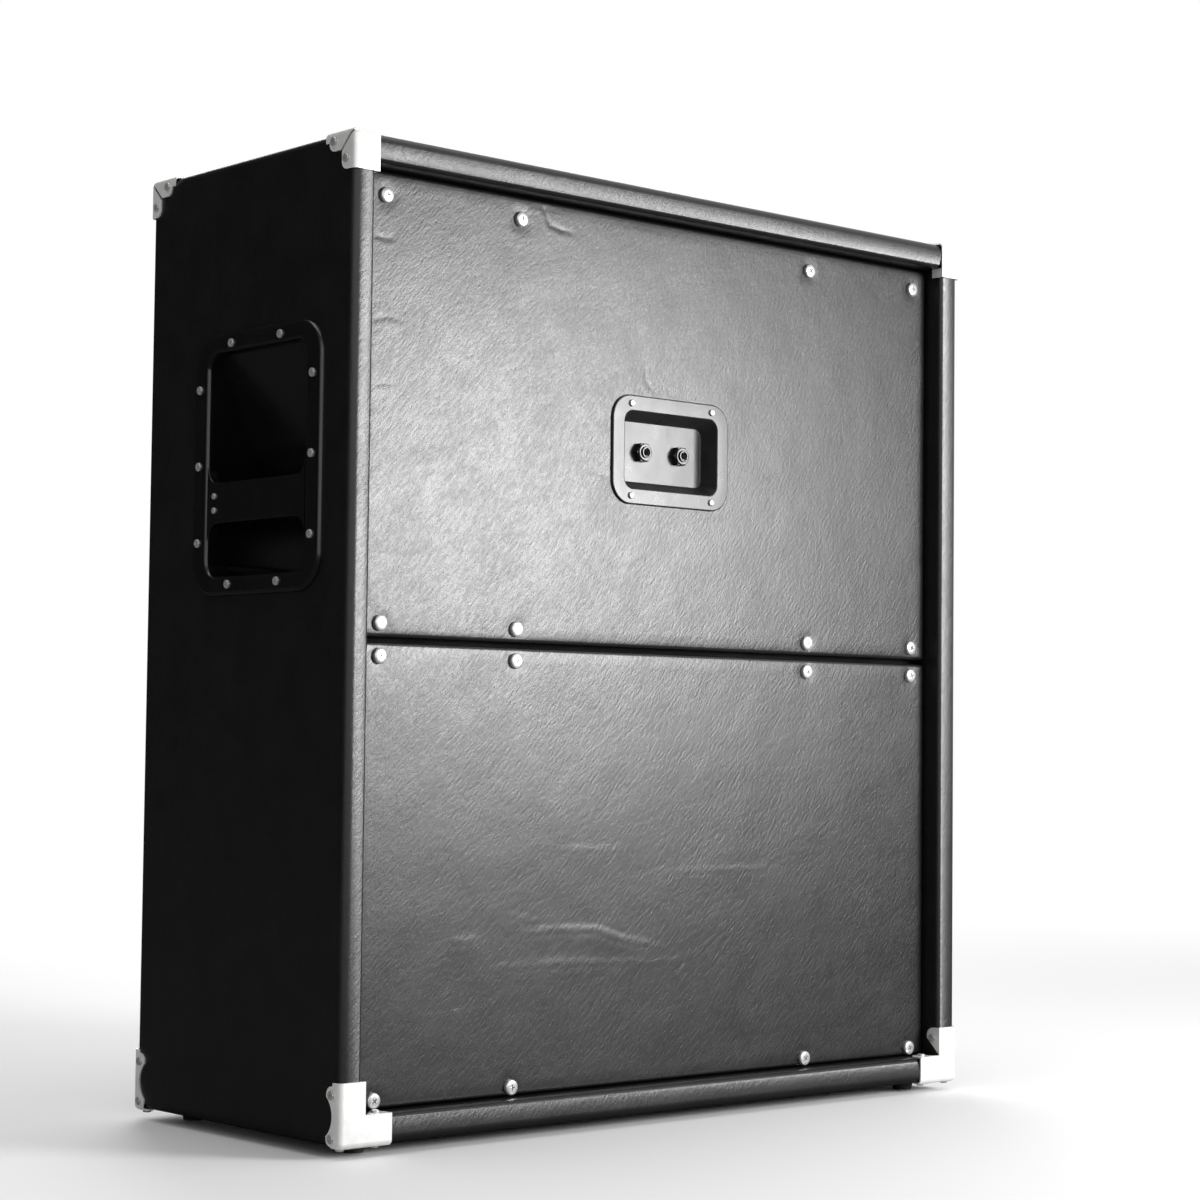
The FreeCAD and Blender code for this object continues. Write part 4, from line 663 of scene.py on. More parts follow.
class CABINET_OT_back_skins(bpy.types.Operator):
    """Stretch the vinyl over the two back panels, with its folds and the screws' dimples"""

    bl_idname = "cabinet.back_skins"
    bl_label = "Back Panel Skins"

    def execute(self, context):
        self.sizes = sizes = context.scene.cabinet_sizes
        screws = [seat for seat, _, _ in screw_places("back_panel_screws")]
        for name, folds in (("upper_back", UPPER_FOLDS), ("lower_back", LOWER_FOLDS)):
            low, high = corners(name + "_vinyl")
            piece = self.blank(name + "_skin", low, high)
            self.swell(piece, low, high)
            with editing(piece):
                for share, path in folds:
                    self.fold(share, [Vector((x, high.y, z)) for x, z in path])
                for seat in screws:
                    if low.z < seat.z < high.z:
                        self.dimple(seat)
            thicken(piece, sizes.skin)
            if name == "upper_back":
                margin = sizes.dish_border - sizes.dish_wall - DISH_HOLE_SLACK
                hole_low, hole_high = corners("jack_dish")
                hole_low, hole_high = hole_low + Vector((margin,) * 3), hole_high - Vector((margin,) * 3)
                hole_low.y, hole_high.y = DISH_HOLE_REACH
                cut_away(piece, add_plate("dish_hole", 1, hole_low, hole_high, DISH_HOLE_CORNER))
            complete(piece, "black_vinyl", name + "_vinyl", angle=60, weighted=False)
        return {"FINISHED"}

    def blank(self, name, low, high):
        """An even grid over the board's face, drawn round its edges."""
        radius, cell, steps = self.sizes.skin_rounding, self.sizes.skin_cell, 4
        wide, tall = high.x - low.x - 2 * radius, high.z - low.z - 2 * radius
        centre = Vector(((low.x + high.x) / 2, high.y, (low.z + high.z) / 2))
        deselect()
        bpy.ops.mesh.primitive_grid_add(x_subdivisions=round(wide / cell), y_subdivisions=round(tall / cell), size=1,
                                        location=centre, rotation=(-math.pi / 2, 0, 0))
        bpy.context.object.scale = (wide, tall, 1)
        piece = settle(name)
        with editing(piece):
            pick("EDGE", lambda edge: edge.is_boundary)
            reach, drop = 0.0, 0.0
            for step in range(1, steps + 1):
                angle = math.pi / 2 * step / steps
                next_reach, next_drop = radius * math.sin(angle), radius * (1 - math.cos(angle))
                push((0, drop - next_drop, 0))
                widen(((wide + 2 * next_reach) / (wide + 2 * reach), 1,
                       (tall + 2 * next_reach) / (tall + 2 * reach)), centre - BACK * next_drop)
                reach, drop = next_reach, next_drop
            push((0, low.y - (high.y - radius), 0))
        return piece

    def swell(self, piece, low, high):
        """Slow waves and a slight swelling over the flat of the panel."""
        sizes = self.sizes
        group = piece.vertex_groups.new(name="flat")
        for point in piece.data.vertices:
            x, _, z = point.co
            edge = min(x - low.x, high.x - x, z - low.z, high.z - z) - sizes.skin_rounding
            share = max(0.0, min(1.0, edge / EDGE_FADE))
            group.add([point.index], share * share * (3 - 2 * share), "REPLACE")
        apply_modifier(piece, "DISPLACE", strength=sizes.pillow, mid_level=0.0, vertex_group="flat")
        for label, size, height in (("skin_waves", WAVE_WIDE, sizes.wave),
                                    ("skin_ripples", RIPPLE_WIDE, sizes.wave * RIPPLE_SHARE)):
            texture = bpy.data.textures.get(label) or bpy.data.textures.new(label, "CLOUDS")
            texture.noise_scale = size
            texture.noise_depth = 1
            apply_modifier(piece, "DISPLACE", texture=texture, texture_coords="LOCAL", strength=height, mid_level=0.5,
                           vertex_group="flat")
        piece.vertex_groups.clear()

    def fold(self, share, path):
        """A fold along a path: raised with a slow fall below it, or drawn in with a ridge below it."""
        spots = []
        for start, end in zip(path, path[1:]):
            count = max(2, round((end - start).length / FOLD_STEP))
            spots += [start.lerp(end, step / count) for step in range(count)]
        spots.append(path[-1])
        left, right = min(spot.x for spot in spots) - FOLD_SURROUND, max(spot.x for spot in spots) + FOLD_SURROUND
        lowest, highest = min(spot.z for spot in spots) - FOLD_SURROUND, max(spot.z for spot in spots) + FOLD_SURROUND

        def close(point, reach, drop=0.0):
            if not (left < point.x < right and lowest < point.z < highest and point.y > SKIN_FACE):
                return False
            return min((point.x - spot.x) ** 2 + (point.z - spot.z + drop) ** 2 for spot in spots) ** 0.5 < reach

        pick("FACE", lambda face: close(face.calc_center_median(), FOLD_BAND))
        bpy.ops.mesh.subdivide(number_cuts=2)
        height = self.sizes.crease * share
        whole = list(spots)
        for cut, part in FOLD_PASSES:
            trim = round(cut * len(whole))
            spots[:] = whole[trim:len(whole) - trim] or whole
            for drop, lift, width, falloff, reach in RAISED if share > 0 else DRAWN_IN:
                pick_points(lambda point: close(point, width, drop))
                draw_out(lift * height * part, falloff, reach)

    def dimple(self, seat):
        """The skin drawn in round a screw's head."""
        pick_points(lambda point: math.hypot(point.x - seat.x, point.z - seat.z) < DIMPLE_WIDE
                    and point.y > SKIN_FACE)
        draw_out(-self.sizes.dimple, "SMOOTH", DIMPLE_REACH)


def solids_of(node):
    """The points of each separate solid in a CAD node."""
    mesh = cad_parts[node].data
    keys, owner = {}, []
    for point in mesh.vertices:
        owner.append(keys.setdefault(tuple(round(part, 6) for part in point.co), len(keys)))
    parent = list(range(len(keys)))

    def root(item):
        while parent[item] != item:
            parent[item] = parent[parent[item]]
            item = parent[item]
        return item

    for edge in mesh.edges:
        first, second = (root(owner[corner]) for corner in edge.vertices)
        parent[first] = second
    solids = {}
    for place, item in keys.items():
        solids.setdefault(root(item), []).append(Vector(place))
    return list(solids.values())


def screw_places(node):
    """Each screw's seat, the way its head faces, and its head's radius, as the CAD node has them."""
    places = []
    for points in solids_of(node):
        low = Vector([min(point[axis] for point in points) for axis in range(3)])
        high = Vector([max(point[axis] for point in points) for axis in range(3)])
        axis = max(range(3), key=lambda item: high[item] - low[item])
        centre = (low + high) / 2
        spread = [math.hypot(*[part for item, part in enumerate(point - centre) if item != axis]) for point in points]
        radius = max(spread)
        rim = [point[axis] for point, size in zip(points, spread) if size > radius * 0.97]
        facing = Vector((0, 0, 0))
        facing[axis] = 1.0 if sum(rim) / len(rim) > centre[axis] else -1.0
        seat = centre.copy()
        seat[axis] = min(rim) if facing[axis] > 0 else max(rim)
        places.append((seat, facing, radius))
    return sorted(places, key=lambda item: tuple(round(part, 4) for part in item[0]))


# The dish's and the bar's screws have smaller heads than the CAD's, by these shares.
DISH_HEAD, BAR_HEAD = 0.84, 0.72
# Height of the head, radius of the shank and its length.
LARGE_SCREW, SMALL_SCREW = (3.2 * MM, 2.1 * MM, 26 * MM), (1.9 * MM, 1.6 * MM, 10 * MM)
LARGE_HEAD = 5 * MM


class CABINET_OT_screws(bpy.types.Operator):
    """Drive the cross-head screws of the panels, the dish, the handles, the corners and the feet"""

    bl_idname = "cabinet.screws"
    bl_label = "Screws"

    def execute(self, context):
        turns = random.Random(7)
        patterns = {}
        bar_low, bar_high = corners("handle_bar_right")
        for node in ("back_panel_screws", "jack_dish_screws", "handle_screws", "corner_screws", "foot_screws"):
            copies = []
            for seat, facing, radius in screw_places(node):
                if node == "jack_dish_screws":
                    radius *= DISH_HEAD
                elif node == "handle_screws" and bar_low.z < seat.z < bar_high.z:
                    radius *= BAR_HEAD
                key = round(radius, 4)
                if key not in patterns:
                    patterns[key] = self.pattern(radius)
                turn = UP.rotation_difference(facing).to_matrix().to_4x4()
                roll = Matrix.Rotation(turns.uniform(0, math.pi / 2), 4, "Z")
                copies.append(duplicate(patterns[key], Matrix.Translation(seat) @ turn @ roll))
            complete(join(node.replace("screws", "screw_set"), copies), "bright_screw", node, angle=40)
        for pattern in patterns.values():
            bpy.data.objects.remove(pattern)
        return {"FINISHED"}

    @staticmethod
    def pattern(radius):
        """One screw with its seat at the origin: domed head, cross recess, pointed shank."""
        height, shank, reach = LARGE_SCREW if radius > LARGE_HEAD else SMALL_SCREW
        piece = add_rod("screw", 2, (0, 0, 0), radius, 0.0, height * 0.5, 28)
        with editing(piece):
            pick_facing(2)
            inside, lifted = 1.0, 0.5
            for share, rise in ((0.97, 0.70), (0.90, 0.82), (0.74, 0.92), (0.48, 0.97)):
                inset((inside - share) * radius)
                slide((0, 0, (rise - lifted) * height))
                inside, lifted = share, rise
            pick_facing(2, -1)
            inset(radius - shank)
            push((0, 0, -reach * 0.8))
            push((0, 0, -reach * 0.2))
            widen((0.15, 0.15, 1), (0, 0, -reach))
        cutters = []
        recess, long_arm, short_arm = height * 0.42, 0.54 * radius, 0.11 * radius
        for x, y in ((long_arm, short_arm), (short_arm, long_arm)):
            cutter = add_block("cross", (-x, -y, recess), (x, y, height * 1.4))
            with editing(cutter):
                pick_facing(2, -1)
                widen((0.45, 0.45, 1), (0, 0, recess))
            cutters.append(cutter)
        cut_away(piece, *cutters)
        mend(piece)
        return piece


DISH_EDGE, DISH_MOUTH = 1.2 * MM, 0.9 * MM
# The bend from the dish's walls to its floor, in steps in and down, in millimetres.
FLOOR_BEND = ((0.35, 0.55), (0.45, 0.30), (0.60, 0.15))
JACK_HOLE = 5.0 * MM
JACK_HOLE_REACH = (0.09, 0.11)


class CABINET_OT_jack_dish(bpy.types.Operator):
    """Mould the dish that holds the jacks"""

    bl_idname = "cabinet.jack_dish"
    bl_label = "Jack Dish"

    def execute(self, context):
        sizes = context.scene.cabinet_sizes
        low, high = corners("jack_dish")
        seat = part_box("upper_back_vinyl")[1][1]
        floor = high.y - sizes.dish_depth
        piece = add_plate("jack_dish_moulding", 1, (low.x, seat, low.z), high, sizes.dish_corner, 10)
        with editing(piece):
            pick_facing(1, -1)
            remove_faces()
            pick_edges(lambda point: point.y > high.y - NEAR)
            round_off(DISH_EDGE, 3)
            pick_facing(1, 1, SQUARE)
            inset(sizes.dish_border - DISH_EDGE)
            centre = (low + high) / 2
            across, up = high.x - sizes.dish_border, high.z - centre.z - sizes.dish_border
            self.open_corners(piece, centre, across, up, sizes)
            push((0, floor + MM - high.y, 0))
            widen((1 - sizes.dish_draft_across / across, 1, 1 - sizes.dish_draft_up / up),
                  (centre.x, floor, centre.z))
            for step, drop in FLOOR_BEND:
                inset(step * MM, -drop * MM)
            pick_edges(lambda point: point.y > high.y - NEAR and abs(point.x) < across + NEAR
                       and abs(point.z - centre.z) < up + NEAR)
            round_off(DISH_MOUTH, 3)
        mend(piece)
        thicken(piece, sizes.dish_wall)
        cut_away(piece, *[add_rod("jack_hole", 1, (middle.x, 0, middle.z), JACK_HOLE, *JACK_HOLE_REACH)
                          for middle in jack_centres()])
        complete(piece, "dish_plastic", "jack_dish")
        return {"FINISHED"}

    @staticmethod
    def open_corners(piece, centre, across, up, sizes):
        """Moves the corner points of the dish's mouth from the inset's radius out to its own."""
        tight, wide = sizes.dish_corner - sizes.dish_border, sizes.dish_opening
        shape = bmesh.from_edit_mesh(piece.data)
        for point in shape.verts:
            arm = point.co - centre
            bend = Vector((abs(arm.x) - across + tight, abs(arm.z) - up + tight))
            if abs(arm.x) < across + NEAR and abs(arm.z) < up + NEAR and min(bend) > -MM:
                bend = Vector((max(bend.x, 0.0), max(bend.y, 0.0))).normalized()
                point.co.x = centre.x + math.copysign(across - wide + wide * bend.x, arm.x)
                point.co.z = centre.z + math.copysign(up - wide + wide * bend.y, arm.z)
        bmesh.update_edit_mesh(piece.data)


JACKS = ("jack_left", "jack_right")
CASE_ROUNDING = 1.2 * MM
NECK, NECK_WALL, NECK_BORE = 4.75 * MM, 1.5 * MM, 16 * MM
GROOVE_SHARE = 0.92
SLEEVE, SLEEVE_WALL = 3.22 * MM, 0.35 * MM
# How far behind the neck's end the sleeve starts and ends.
SLEEVE_REACH = (9 * MM, 1.6 * MM)
NUT_SHOULDER = 1.3 * MM


def jack_centres():
    """Where the two jacks stand, from the CAD nodes."""
    return [sum(corners(node), Vector()) / 2 for node in JACKS]


class CABINET_OT_jacks(bpy.types.Operator):
    """Turn the two jack sockets and their nuts"""

    bl_idname = "cabinet.jacks"
    bl_label = "Jacks"

    def execute(self, context):
        nuts = []
        nut_low, nut_high = (corner.y for corner in corners("jack_nuts"))
        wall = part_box("jack_dish")[0][1]
        for node, centre in zip(JACKS, jack_centres()):
            low, high = corners(node)
            case = add_block("case", low, (high.x, wall, high.z))
            with editing(case):
                pick_all()
                round_off(CASE_ROUNDING, 3)
            bush = self.bush(centre, wall, nut_high, high.y)
            sleeve = self.sleeve(centre, high.y)
            for part, finish in ((case, "jack_plastic"), (bush, "jack_plastic"), (sleeve, "plated_steel")):
                part.data.materials.append(finish_of(finish))
            complete(join(node + "_socket", [case, bush, sleeve]), "jack_plastic", node)
            nuts.append(self.nut(centre, nut_low, nut_high))
        complete(join("jack_nut_pair", nuts), "jack_plastic", "jack_nuts")
        return {"FINISHED"}

    @staticmethod
    def bush(centre, start, nut_top, end):
        """The neck, bored for the plug, with a groove round it."""
        def from_axis(point):
            return math.hypot(point.x - centre.x, point.z - centre.z)

        groove, ring = (nut_top + (end - nut_top) * step / 3 for step in (1, 2))
        piece = add_rod("bush", 1, centre, NECK, start, end, 40)
        with editing(piece):
            pick_facing(1)
            inset(NECK_WALL)
            push((0, -NECK_BORE, 0))
            for level in (groove, ring):
                pick_all()
                bpy.ops.mesh.bisect(plane_co=(0, level, 0), plane_no=(0, 1, 0))
            pick_points(lambda point: abs(point.y - groove) < NEAR and from_axis(point) > 4.5 * MM)
            widen((GROOVE_SHARE, 1, GROOVE_SHARE), (centre.x, groove, centre.z))
            pick_edges(lambda point: abs(point.y - end) < NEAR and from_axis(point) > 3 * MM)
            round_off(0.25 * MM, 2)
        mend(piece)
        return piece

    @staticmethod
    def sleeve(centre, end):
        """The metal contact sleeve inside the neck."""
        first, last = (end - depth for depth in SLEEVE_REACH)
        piece = add_rod("sleeve", 1, centre, SLEEVE, first, last, 40)
        with editing(piece):
            for side in (1, -1):
                pick_facing(1, side)
                inset(SLEEVE_WALL)
                remove_faces()
            pick("EDGE", lambda edge: edge.is_boundary)
            bpy.ops.mesh.bridge_edge_loops()
        mend(piece)
        return piece

    @staticmethod
    def nut(centre, start, end):
        """A six-sided nut with a round shoulder, bored for the neck."""
        shoulder = end - NUT_SHOULDER
        parts = []
        for name, radius, first, last, sides, roll, edge in (
                ("hexagon", 8.4 * MM, start, shoulder, 6, math.pi / 6, 0.5 * MM),
                ("shoulder", 7.1 * MM, shoulder - MM, end, 48, 0.0, 0.7 * MM)):
            part = add_rod(name, 1, centre, radius, first, last, sides, roll)
            with editing(part):
                pick_edges(lambda point: point.y > last - NEAR)
                round_off(edge, 3)
            cut_away(part, add_rod("nut_bore", 1, centre, NECK + 0.1 * MM, first - 2 * MM, last + 2 * MM, 40))
            mend(part)
            parts.append(part)
        return join("nut", parts)


HANDLE_BORDER = 15.5 * MM
MOUTH_SLACK, MOUTH_ROUNDING = 0.6 * MM, 4.2 * MM
# The cup's back slopes from this far above the bar's lower edge.
SLOPE_RISE, SLOPE_ROUNDING = 11 * MM, 9 * MM
BAR_TIP, BAR_ROUNDING = 1 * MM, 0.9 * MM
LEDGE_WIDE, LEDGE_OVERLAP, LEDGE_DEEP = 12.8 * MM, 1.2 * MM, 31 * MM


class CABINET_OT_handles(bpy.types.Operator):
    """Mould the two recessed handles and their bars"""

    bl_idname = "cabinet.handles"
    bl_label = "Handles"

    def execute(self, context):
        self.sizes = context.scene.cabinet_sizes
        for piece, part in ((self.cup(), "cup"), (self.bar(), "bar")):
            twin = reflected(piece, "left_handle_" + part)
            complete(piece, "handle_plastic", "handle_%s_right" % part)
            complete(twin, "handle_plastic", "handle_%s_left" % part)
        return {"FINISHED"}

    def cup(self):
        """The flange, and the cup behind it: shallow at the top, deep behind the bar."""
        low, high = corners("handle_cup_right")
        bar_low, bar_high = corners("handle_bar_right")
        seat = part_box("vinyl_covering")[1][0]
        wall = self.sizes.handle_wall
        centre = (low + high) / 2
        mouth_wide = bar_high.y - bar_low.y + MOUTH_SLACK
        deep, lip = low.x + wall, high.x - self.sizes.cup_lip
        top, bottom = high.z - HANDLE_BORDER, low.z + HANDLE_BORDER
        slope_foot = bar_low.z + SLOPE_RISE
        edge = high.x - seat - 0.2 * MM
        piece = add_plate("right_handle_cup", 0, (seat, low.y, low.z), (high.x - edge, high.y, high.z),
                          self.sizes.handle_corner, 10)
        with editing(piece):
            pick_facing(0, -1)
            remove_faces()
            pick_facing(0, 1, SQUARE)
            turns = [math.radians(step * 11.25) for step in range(9)]
            for last, turn in zip(turns, turns[1:]):
                inset(edge * (math.cos(last) - math.cos(turn)))
                slide((edge * (math.sin(turn) - math.sin(last)), 0, 0))
            inset(HANDLE_BORDER - edge)
            widen((1, mouth_wide / (high.y - low.y - 2 * HANDLE_BORDER), 1), (high.x, centre.y, centre.z))
            push((lip - high.x, 0, 0))
            push((deep - lip, 0, 0))
            pick_all()
            bpy.ops.mesh.bisect(plane_co=(0, 0, slope_foot), plane_no=(0, 0, 1))
            shape = bmesh.from_edit_mesh(piece.data)
            for point in shape.verts:
                if point.co.x < deep + NEAR and point.co.z > slope_foot:
                    point.co.x += (lip - deep - MM) * (point.co.z - slope_foot) / (top - slope_foot)
            bmesh.update_edit_mesh(piece.data)
            pick_edges(lambda point: abs(point.z - slope_foot) < NEAR and point.x < deep + NEAR)
            round_off(SLOPE_ROUNDING, 5)
            pick_edges(lambda point: point.x > high.x - NEAR and abs(point.y - centre.y) < mouth_wide / 2 + NEAR
                       and bottom - NEAR < point.z < top + NEAR)
            round_off(MOUTH_ROUNDING, 6)
        mend(piece)
        thicken(piece, wall * 0.9)
        ledges = []
        for end in (1, -1):
            first, last = sorted(centre.y + (mouth_wide / 2 + reach) * end for reach in (-LEDGE_WIDE, LEDGE_OVERLAP))
            ledge = add_plate("ledge", 0, (seat - LEDGE_DEEP, first, bar_low.z), (bar_low.x, last, bar_high.z),
                              1.5 * MM, 3)
            ledges.append(ledge)
        return join("right_handle_cup", [piece] + ledges)

    def bar(self):
        """The grip: it spreads at both ends, where it meets the flange, and its edges are rounded."""
        low, high = corners("handle_bar_right")
        flare = self.sizes.bar_flare
        first, last = low.y + BAR_TIP, high.y - BAR_TIP
        spread = Vector((0, 0, flare + 0.5 * MM))
        piece = add_block("right_handle_bar", low - spread, high + spread)
        cut_away(piece, *[add_plate("gap", 0, (low.x - MM, first, start), (high.x + MM, last, end), flare, 10)
                          for start, end in ((high.z, high.z + 3 * flare), (low.z - 3 * flare, low.z))])
        with editing(piece):
            pick("EDGE", lambda edge: abs(edge.verts[0].co.x - edge.verts[1].co.x) < NEAR
                 and all(first - NEAR < point.co.y < last + NEAR for point in edge.verts))
            round_off(BAR_ROUNDING, 3)
        mend(piece)
        return piece


class CABINET_OT_metal_corners(bpy.types.Operator):
    """Plate the eight corner protectors"""

    bl_idname = "cabinet.metal_corners"
    bl_label = "Metal Corners"

    def execute(self, context):
        for place in product(("top", "bottom"), ("back", "front"), ("left", "right")):
            node = "%s_corner_%s_%s" % place
            complete(merged_copy(node + "_plate", node), "nickel_plate", node, angle=28)
        return {"FINISHED"}


CLOTH_ROUNDING, CLOTH_THICK = 3 * MM, 0.8 * MM


class CABINET_OT_grille_cloth(bpy.types.Operator):
    """Stretch the woven cloth over the front frame"""

    bl_idname = "cabinet.grille_cloth"
    bl_label = "Grille Cloth"

    def execute(self, context):
        low, high = corners("grille_cloth")
        piece = add_block("front_cloth", low, high)
        with editing(piece):
            pick_facing(1)
            remove_faces()
            pick("EDGE", lambda edge: runs_along(edge, 1) or all(point.co.y < low.y + NEAR for point in edge.verts))
            round_off(CLOTH_ROUNDING, 4)
        mend(piece)
        thicken(piece, CLOTH_THICK)
        complete(piece, "grille_weave", "grille_cloth")
        return {"FINISHED"}


# Where each lead runs, from its jack to its driver's terminals, in millimetres.
LEAD_ROUTES = {
    "upper": ((-20.6, 74.4, 535.05), (-20.6, 58.4, 535.05), (-31.24, 50.4, 536.85), (-41.88, 42.4, 541.9),
              (-51.0, 35.5, 549.5), (-51.0, -29.5, 549.5)),
    "lower": ((20.6, 74.4, 535.05), (20.6, 58.4, 535.05), (61.34, 50.4, 427.7), (102.1, 42.4, 342.1),
              (137.0, 35.5, 290.5), (137.0, -29.5, 290.5)),
}
LEAD_DIAMETER = 3.6 * MM


class CABINET_OT_speaker_leads(bpy.types.Operator):
    """Run the leads from the jacks to the drivers"""

    bl_idname = "cabinet.speaker_leads"
    bl_label = "Speaker Leads"

    def execute(self, context):
        for name, route in LEAD_ROUTES.items():
            points = [Vector(point) * MM for point in route]
            curve = bpy.data.curves.new(name + "_lead", "CURVE")
            curve.dimensions = "3D"
            curve.bevel_depth = LEAD_DIAMETER / 2
            curve.bevel_resolution = 3
            curve.resolution_u = 12
            curve.use_fill_caps = True
            spline = curve.splines.new("NURBS")
            spline.points.add(len(points) - 1)
            for spot, point in zip(spline.points, points):
                spot.co = (*point, 1.0)
            spline.order_u = 3
            spline.use_endpoint_u = True
            lead = bpy.data.objects.new(name + "_lead", curve)
            context.scene.collection.objects.link(lead)
            curve.materials.append(finish_of("lead_cover"))
            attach(lead, "cabinet")
            if name == "upper":
                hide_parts("speaker_wires")
        return {"FINISHED"}


SOFT_PIECES = ("upper_surround", "lower_surround", "upper_spider", "lower_spider", "grille_pads")


class CABINET_OT_inner_pieces(bpy.types.Operator):
    """Finish the boards, the drivers, the feet and the rest that keep their CAD shape"""

    bl_idname = "cabinet.inner_pieces"
    bl_label = "Boards, Drivers and Feet"

    def execute(self, context):
        for node in SOFT_PIECES:
            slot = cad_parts[node].material_slots[0].material.name
            piece = merged_copy(node + "_cloth", node)
            complete(piece, slot, node)
        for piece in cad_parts.values():
            for place in piece.material_slots:
                slot = place.material.name
                if not slot.startswith("finish_"):
                    place.material = finish_of("black_board" if piece.name == "back_cleats" else slot)
        return {"FINISHED"}


WHITE = (1, 1, 1, 1)
# Each softbox's name and level, its place, what it is aimed at, and its width and height.
SOFTBOXES = (
    ("key_softbox", "key", (-1.02, 1.70, 0.66), (0.1, 0.12, 0.46), (0.70, 0.64)),
    ("overhead_softbox", "overhead", (0.2, 0.1, 2.9), (0.0, 0.0, 0.4), (2.2, 2.2)),
    ("front_fill", "fill", (-1.5, -2.4, 1.3), (0.0, 0.0, 0.4), (1.6, 1.6)),
)
CAMERA_PLACE, CAMERA_DEGREES = (1.4692, 1.6950, 0.2996), (93.0840, -0.6300, 138.4550)
CAMERA_SENSOR, CAMERA_LENS = 36.0, 80.01
# The floor's radius, and how far away it begins to fade and is white.
FLOOR_RADIUS, FLOOR_FADE = 9.0, (0.8, 2.6)


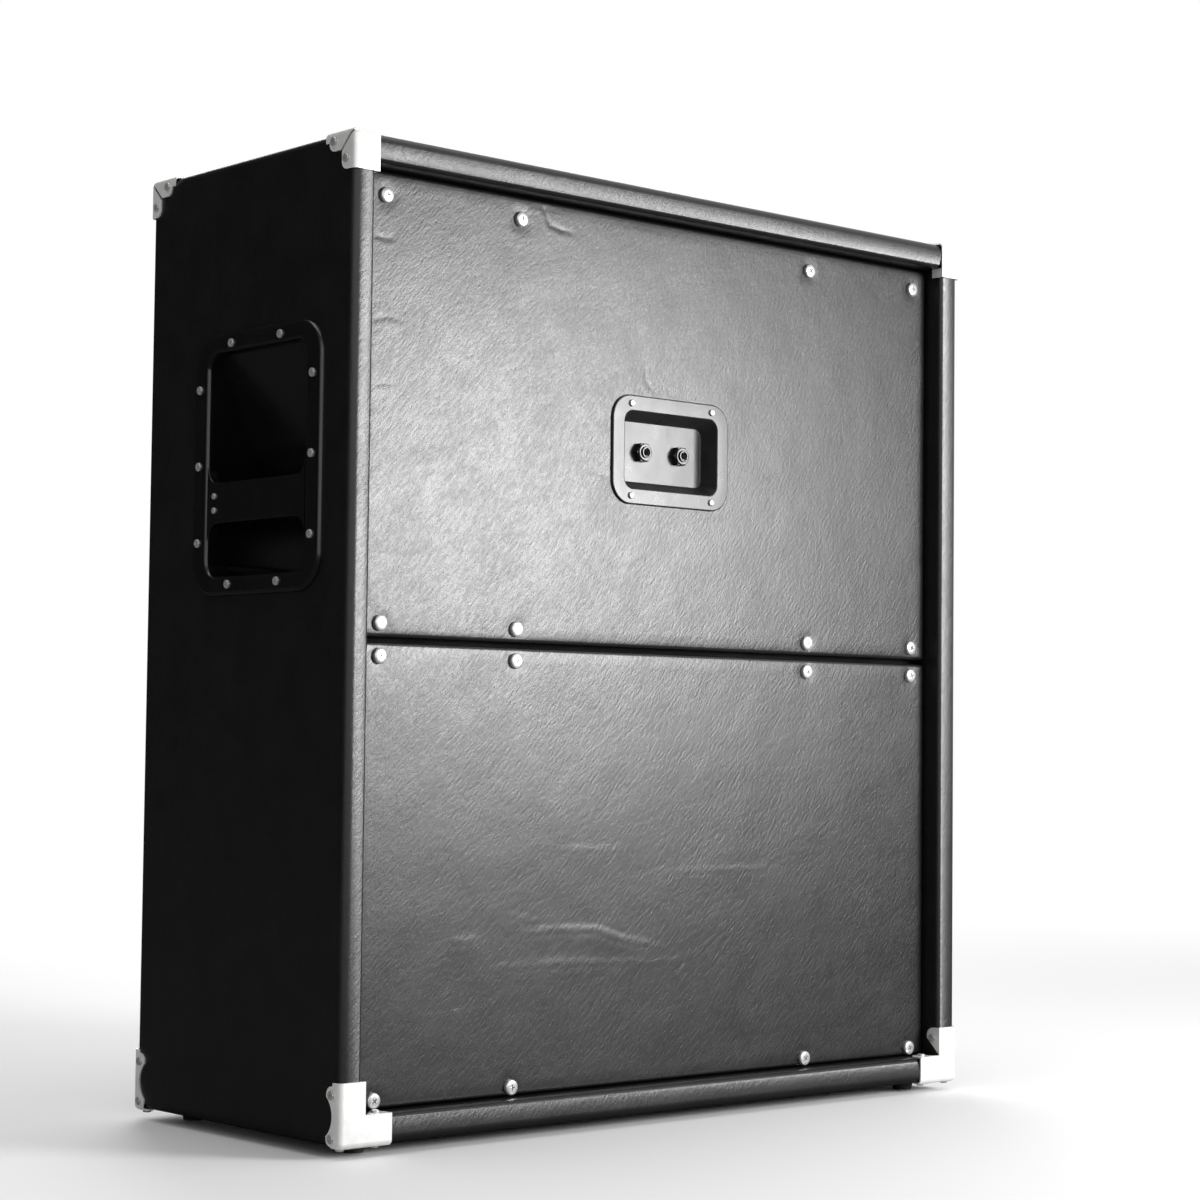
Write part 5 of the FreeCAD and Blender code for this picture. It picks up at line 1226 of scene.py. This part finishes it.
class CABINET_OT_stage(bpy.types.Operator):
    """Set the floor, the studio light and the camera"""

    bl_idname = "cabinet.stage"
    bl_label = "Stage"

    def execute(self, context):
        scene = context.scene
        light = scene.cabinet_light
        scene.view_settings.view_transform = "Standard"
        self.floor(tuple(scene.cabinet_colours.floor))
        self.world(scene, light.ambient)
        for name, level, place, target, size in SOFTBOXES:
            self.softbox(name, place, target, size, getattr(light, level))
        deselect()
        bpy.ops.object.camera_add(location=CAMERA_PLACE, rotation=[math.radians(turn) for turn in CAMERA_DEGREES])
        camera = context.object
        camera.name = "photo_camera"
        camera.data.sensor_width = CAMERA_SENSOR
        camera.data.lens = CAMERA_LENS
        camera.data.dof.use_dof = False
        scene.camera = camera
        return {"FINISHED"}

    @staticmethod
    def softbox(name, place, target, size, power):
        deselect()
        facing = (Vector(target) - Vector(place)).to_track_quat("-Z", "Y").to_euler()
        bpy.ops.object.light_add(type="AREA", location=place, rotation=facing)
        lamp = bpy.context.object
        lamp.name = lamp.data.name = name
        lamp.data.shape = "RECTANGLE"
        lamp.data.size, lamp.data.size_y = size
        lamp.data.energy = power
        lamp.visible_camera = False

    @staticmethod
    def floor(tint):
        """A wide pale floor that fades to white far away and is dim in reflections."""
        deselect()
        bpy.ops.mesh.primitive_circle_add(vertices=96, radius=FLOOR_RADIUS, fill_type="NGON")
        floor = bpy.context.object
        floor.name = "studio_floor"
        material = bpy.data.materials.new("floor_paint")
        material.use_nodes = True
        tree = material.node_tree
        rays = add_node(tree, "LightPath").outputs
        place = add_node(tree, "TexCoord").outputs["Object"]
        away = add_node(tree, "VectorMath", {0: place}, operation="LENGTH").outputs["Value"]
        shader = tree.nodes["Principled BSDF"]
        feed(tree, shader, {"Roughness": 0.7,
                            "Base Color": tinted(tree, rays["Is Glossy Ray"], tint, shade(tint, 0.06))})
        seen = maths(tree, "MAXIMUM", rays["Is Camera Ray"], rays["Is Transmission Ray"])
        white = add_node(tree, "Emission", {"Color": WHITE, "Strength": 1.0})
        both = add_node(tree, "MixShader", {0: maths(tree, "MULTIPLY", ramp(tree, away, *FLOOR_FADE), seen),
                                            1: shader.outputs[0], 2: white.outputs[0]})
        feed(tree, tree.nodes["Material Output"], {"Surface": both.outputs[0]})
        floor.data.materials.append(material)

    @staticmethod
    def world(scene, ambient):
        """White to the camera; to a shiny face dim on the handle's side, with a glow behind; soft elsewhere."""
        world = bpy.data.worlds.new("studio")
        world.use_nodes = True
        scene.world = world
        tree = world.node_tree
        tree.nodes.clear()
        place = add_node(tree, "TexCoord").outputs["Generated"]

        def toward(aim, *span):
            """How far a direction points to an aim, as a smooth step between two levels."""
            turn = add_node(tree, "VectorMath", {0: place, 1: aim}, operation="DOT_PRODUCT")
            return ramp(tree, turn.outputs["Value"], *span)

        sides = maths(tree, "MULTIPLY", toward((0.60, -0.80, 0.0), 0.10, 0.70, 1.0, 0.025),
                      toward((-0.65, -0.75, 0.0), -0.35, 0.25, 0.35, 0.9))
        reflected_light = blended(tree, (sides, 1.0), (toward((0.38, 0.925, 0.0), 0.62, 0.95), 1.1))
        rays = add_node(tree, "LightPath").outputs
        glossy = maths(tree, "MAXIMUM", rays["Is Glossy Ray"], rays["Is Transmission Ray"])
        level = mixed(tree, rays["Is Camera Ray"], mixed(tree, glossy, ambient, reflected_light), 1.0)
        sky = add_node(tree, "Background", {"Color": WHITE, "Strength": level})
        add_node(tree, "OutputWorld", {"Surface": sky.outputs[0]})


STEPS = (CABINET_OT_box_covering, CABINET_OT_back_skins, CABINET_OT_screws, CABINET_OT_jack_dish, CABINET_OT_jacks,
         CABINET_OT_handles, CABINET_OT_metal_corners, CABINET_OT_grille_cloth, CABINET_OT_speaker_leads,
         CABINET_OT_inner_pieces, CABINET_OT_stage)


class CABINET_PT_sidebar(bpy.types.Panel):
    """The cabinet's sizes, colours, light and steps"""

    bl_idname = "CABINET_PT_sidebar"
    bl_label = "Speaker Cabinet"
    bl_space_type = "VIEW_3D"
    bl_region_type = "UI"
    bl_category = "Cabinet"

    def draw(self, context):
        for group in (context.scene.cabinet_sizes, context.scene.cabinet_colours, context.scene.cabinet_light):
            box = self.layout.box()
            for name in group.__annotations__:
                box.prop(group, name)
        for step in STEPS:
            self.layout.operator(step.bl_idname)


CLASSES = (CabinetSizes, CabinetColours, CabinetLight) + STEPS + (CABINET_PT_sidebar,)


def register():
    for item in CLASSES:
        bpy.utils.register_class(item)
    bpy.types.Scene.cabinet_sizes = PointerProperty(type=CabinetSizes)
    bpy.types.Scene.cabinet_colours = PointerProperty(type=CabinetColours)
    bpy.types.Scene.cabinet_light = PointerProperty(type=CabinetLight)


def unregister():
    del bpy.types.Scene.cabinet_light
    del bpy.types.Scene.cabinet_colours
    del bpy.types.Scene.cabinet_sizes
    for item in reversed(CLASSES):
        bpy.utils.unregister_class(item)


def main():
    register()
    bpy.ops.cabinet.stage()
    bpy.ops.cabinet.speaker_leads()
    bpy.ops.cabinet.box_covering()
    bpy.ops.cabinet.back_skins()
    bpy.ops.cabinet.screws()
    bpy.ops.cabinet.jack_dish()
    bpy.ops.cabinet.jacks()
    bpy.ops.cabinet.handles()
    bpy.ops.cabinet.metal_corners()
    bpy.ops.cabinet.grille_cloth()
    bpy.ops.cabinet.inner_pieces()


if __name__ == "__main__":
    main()
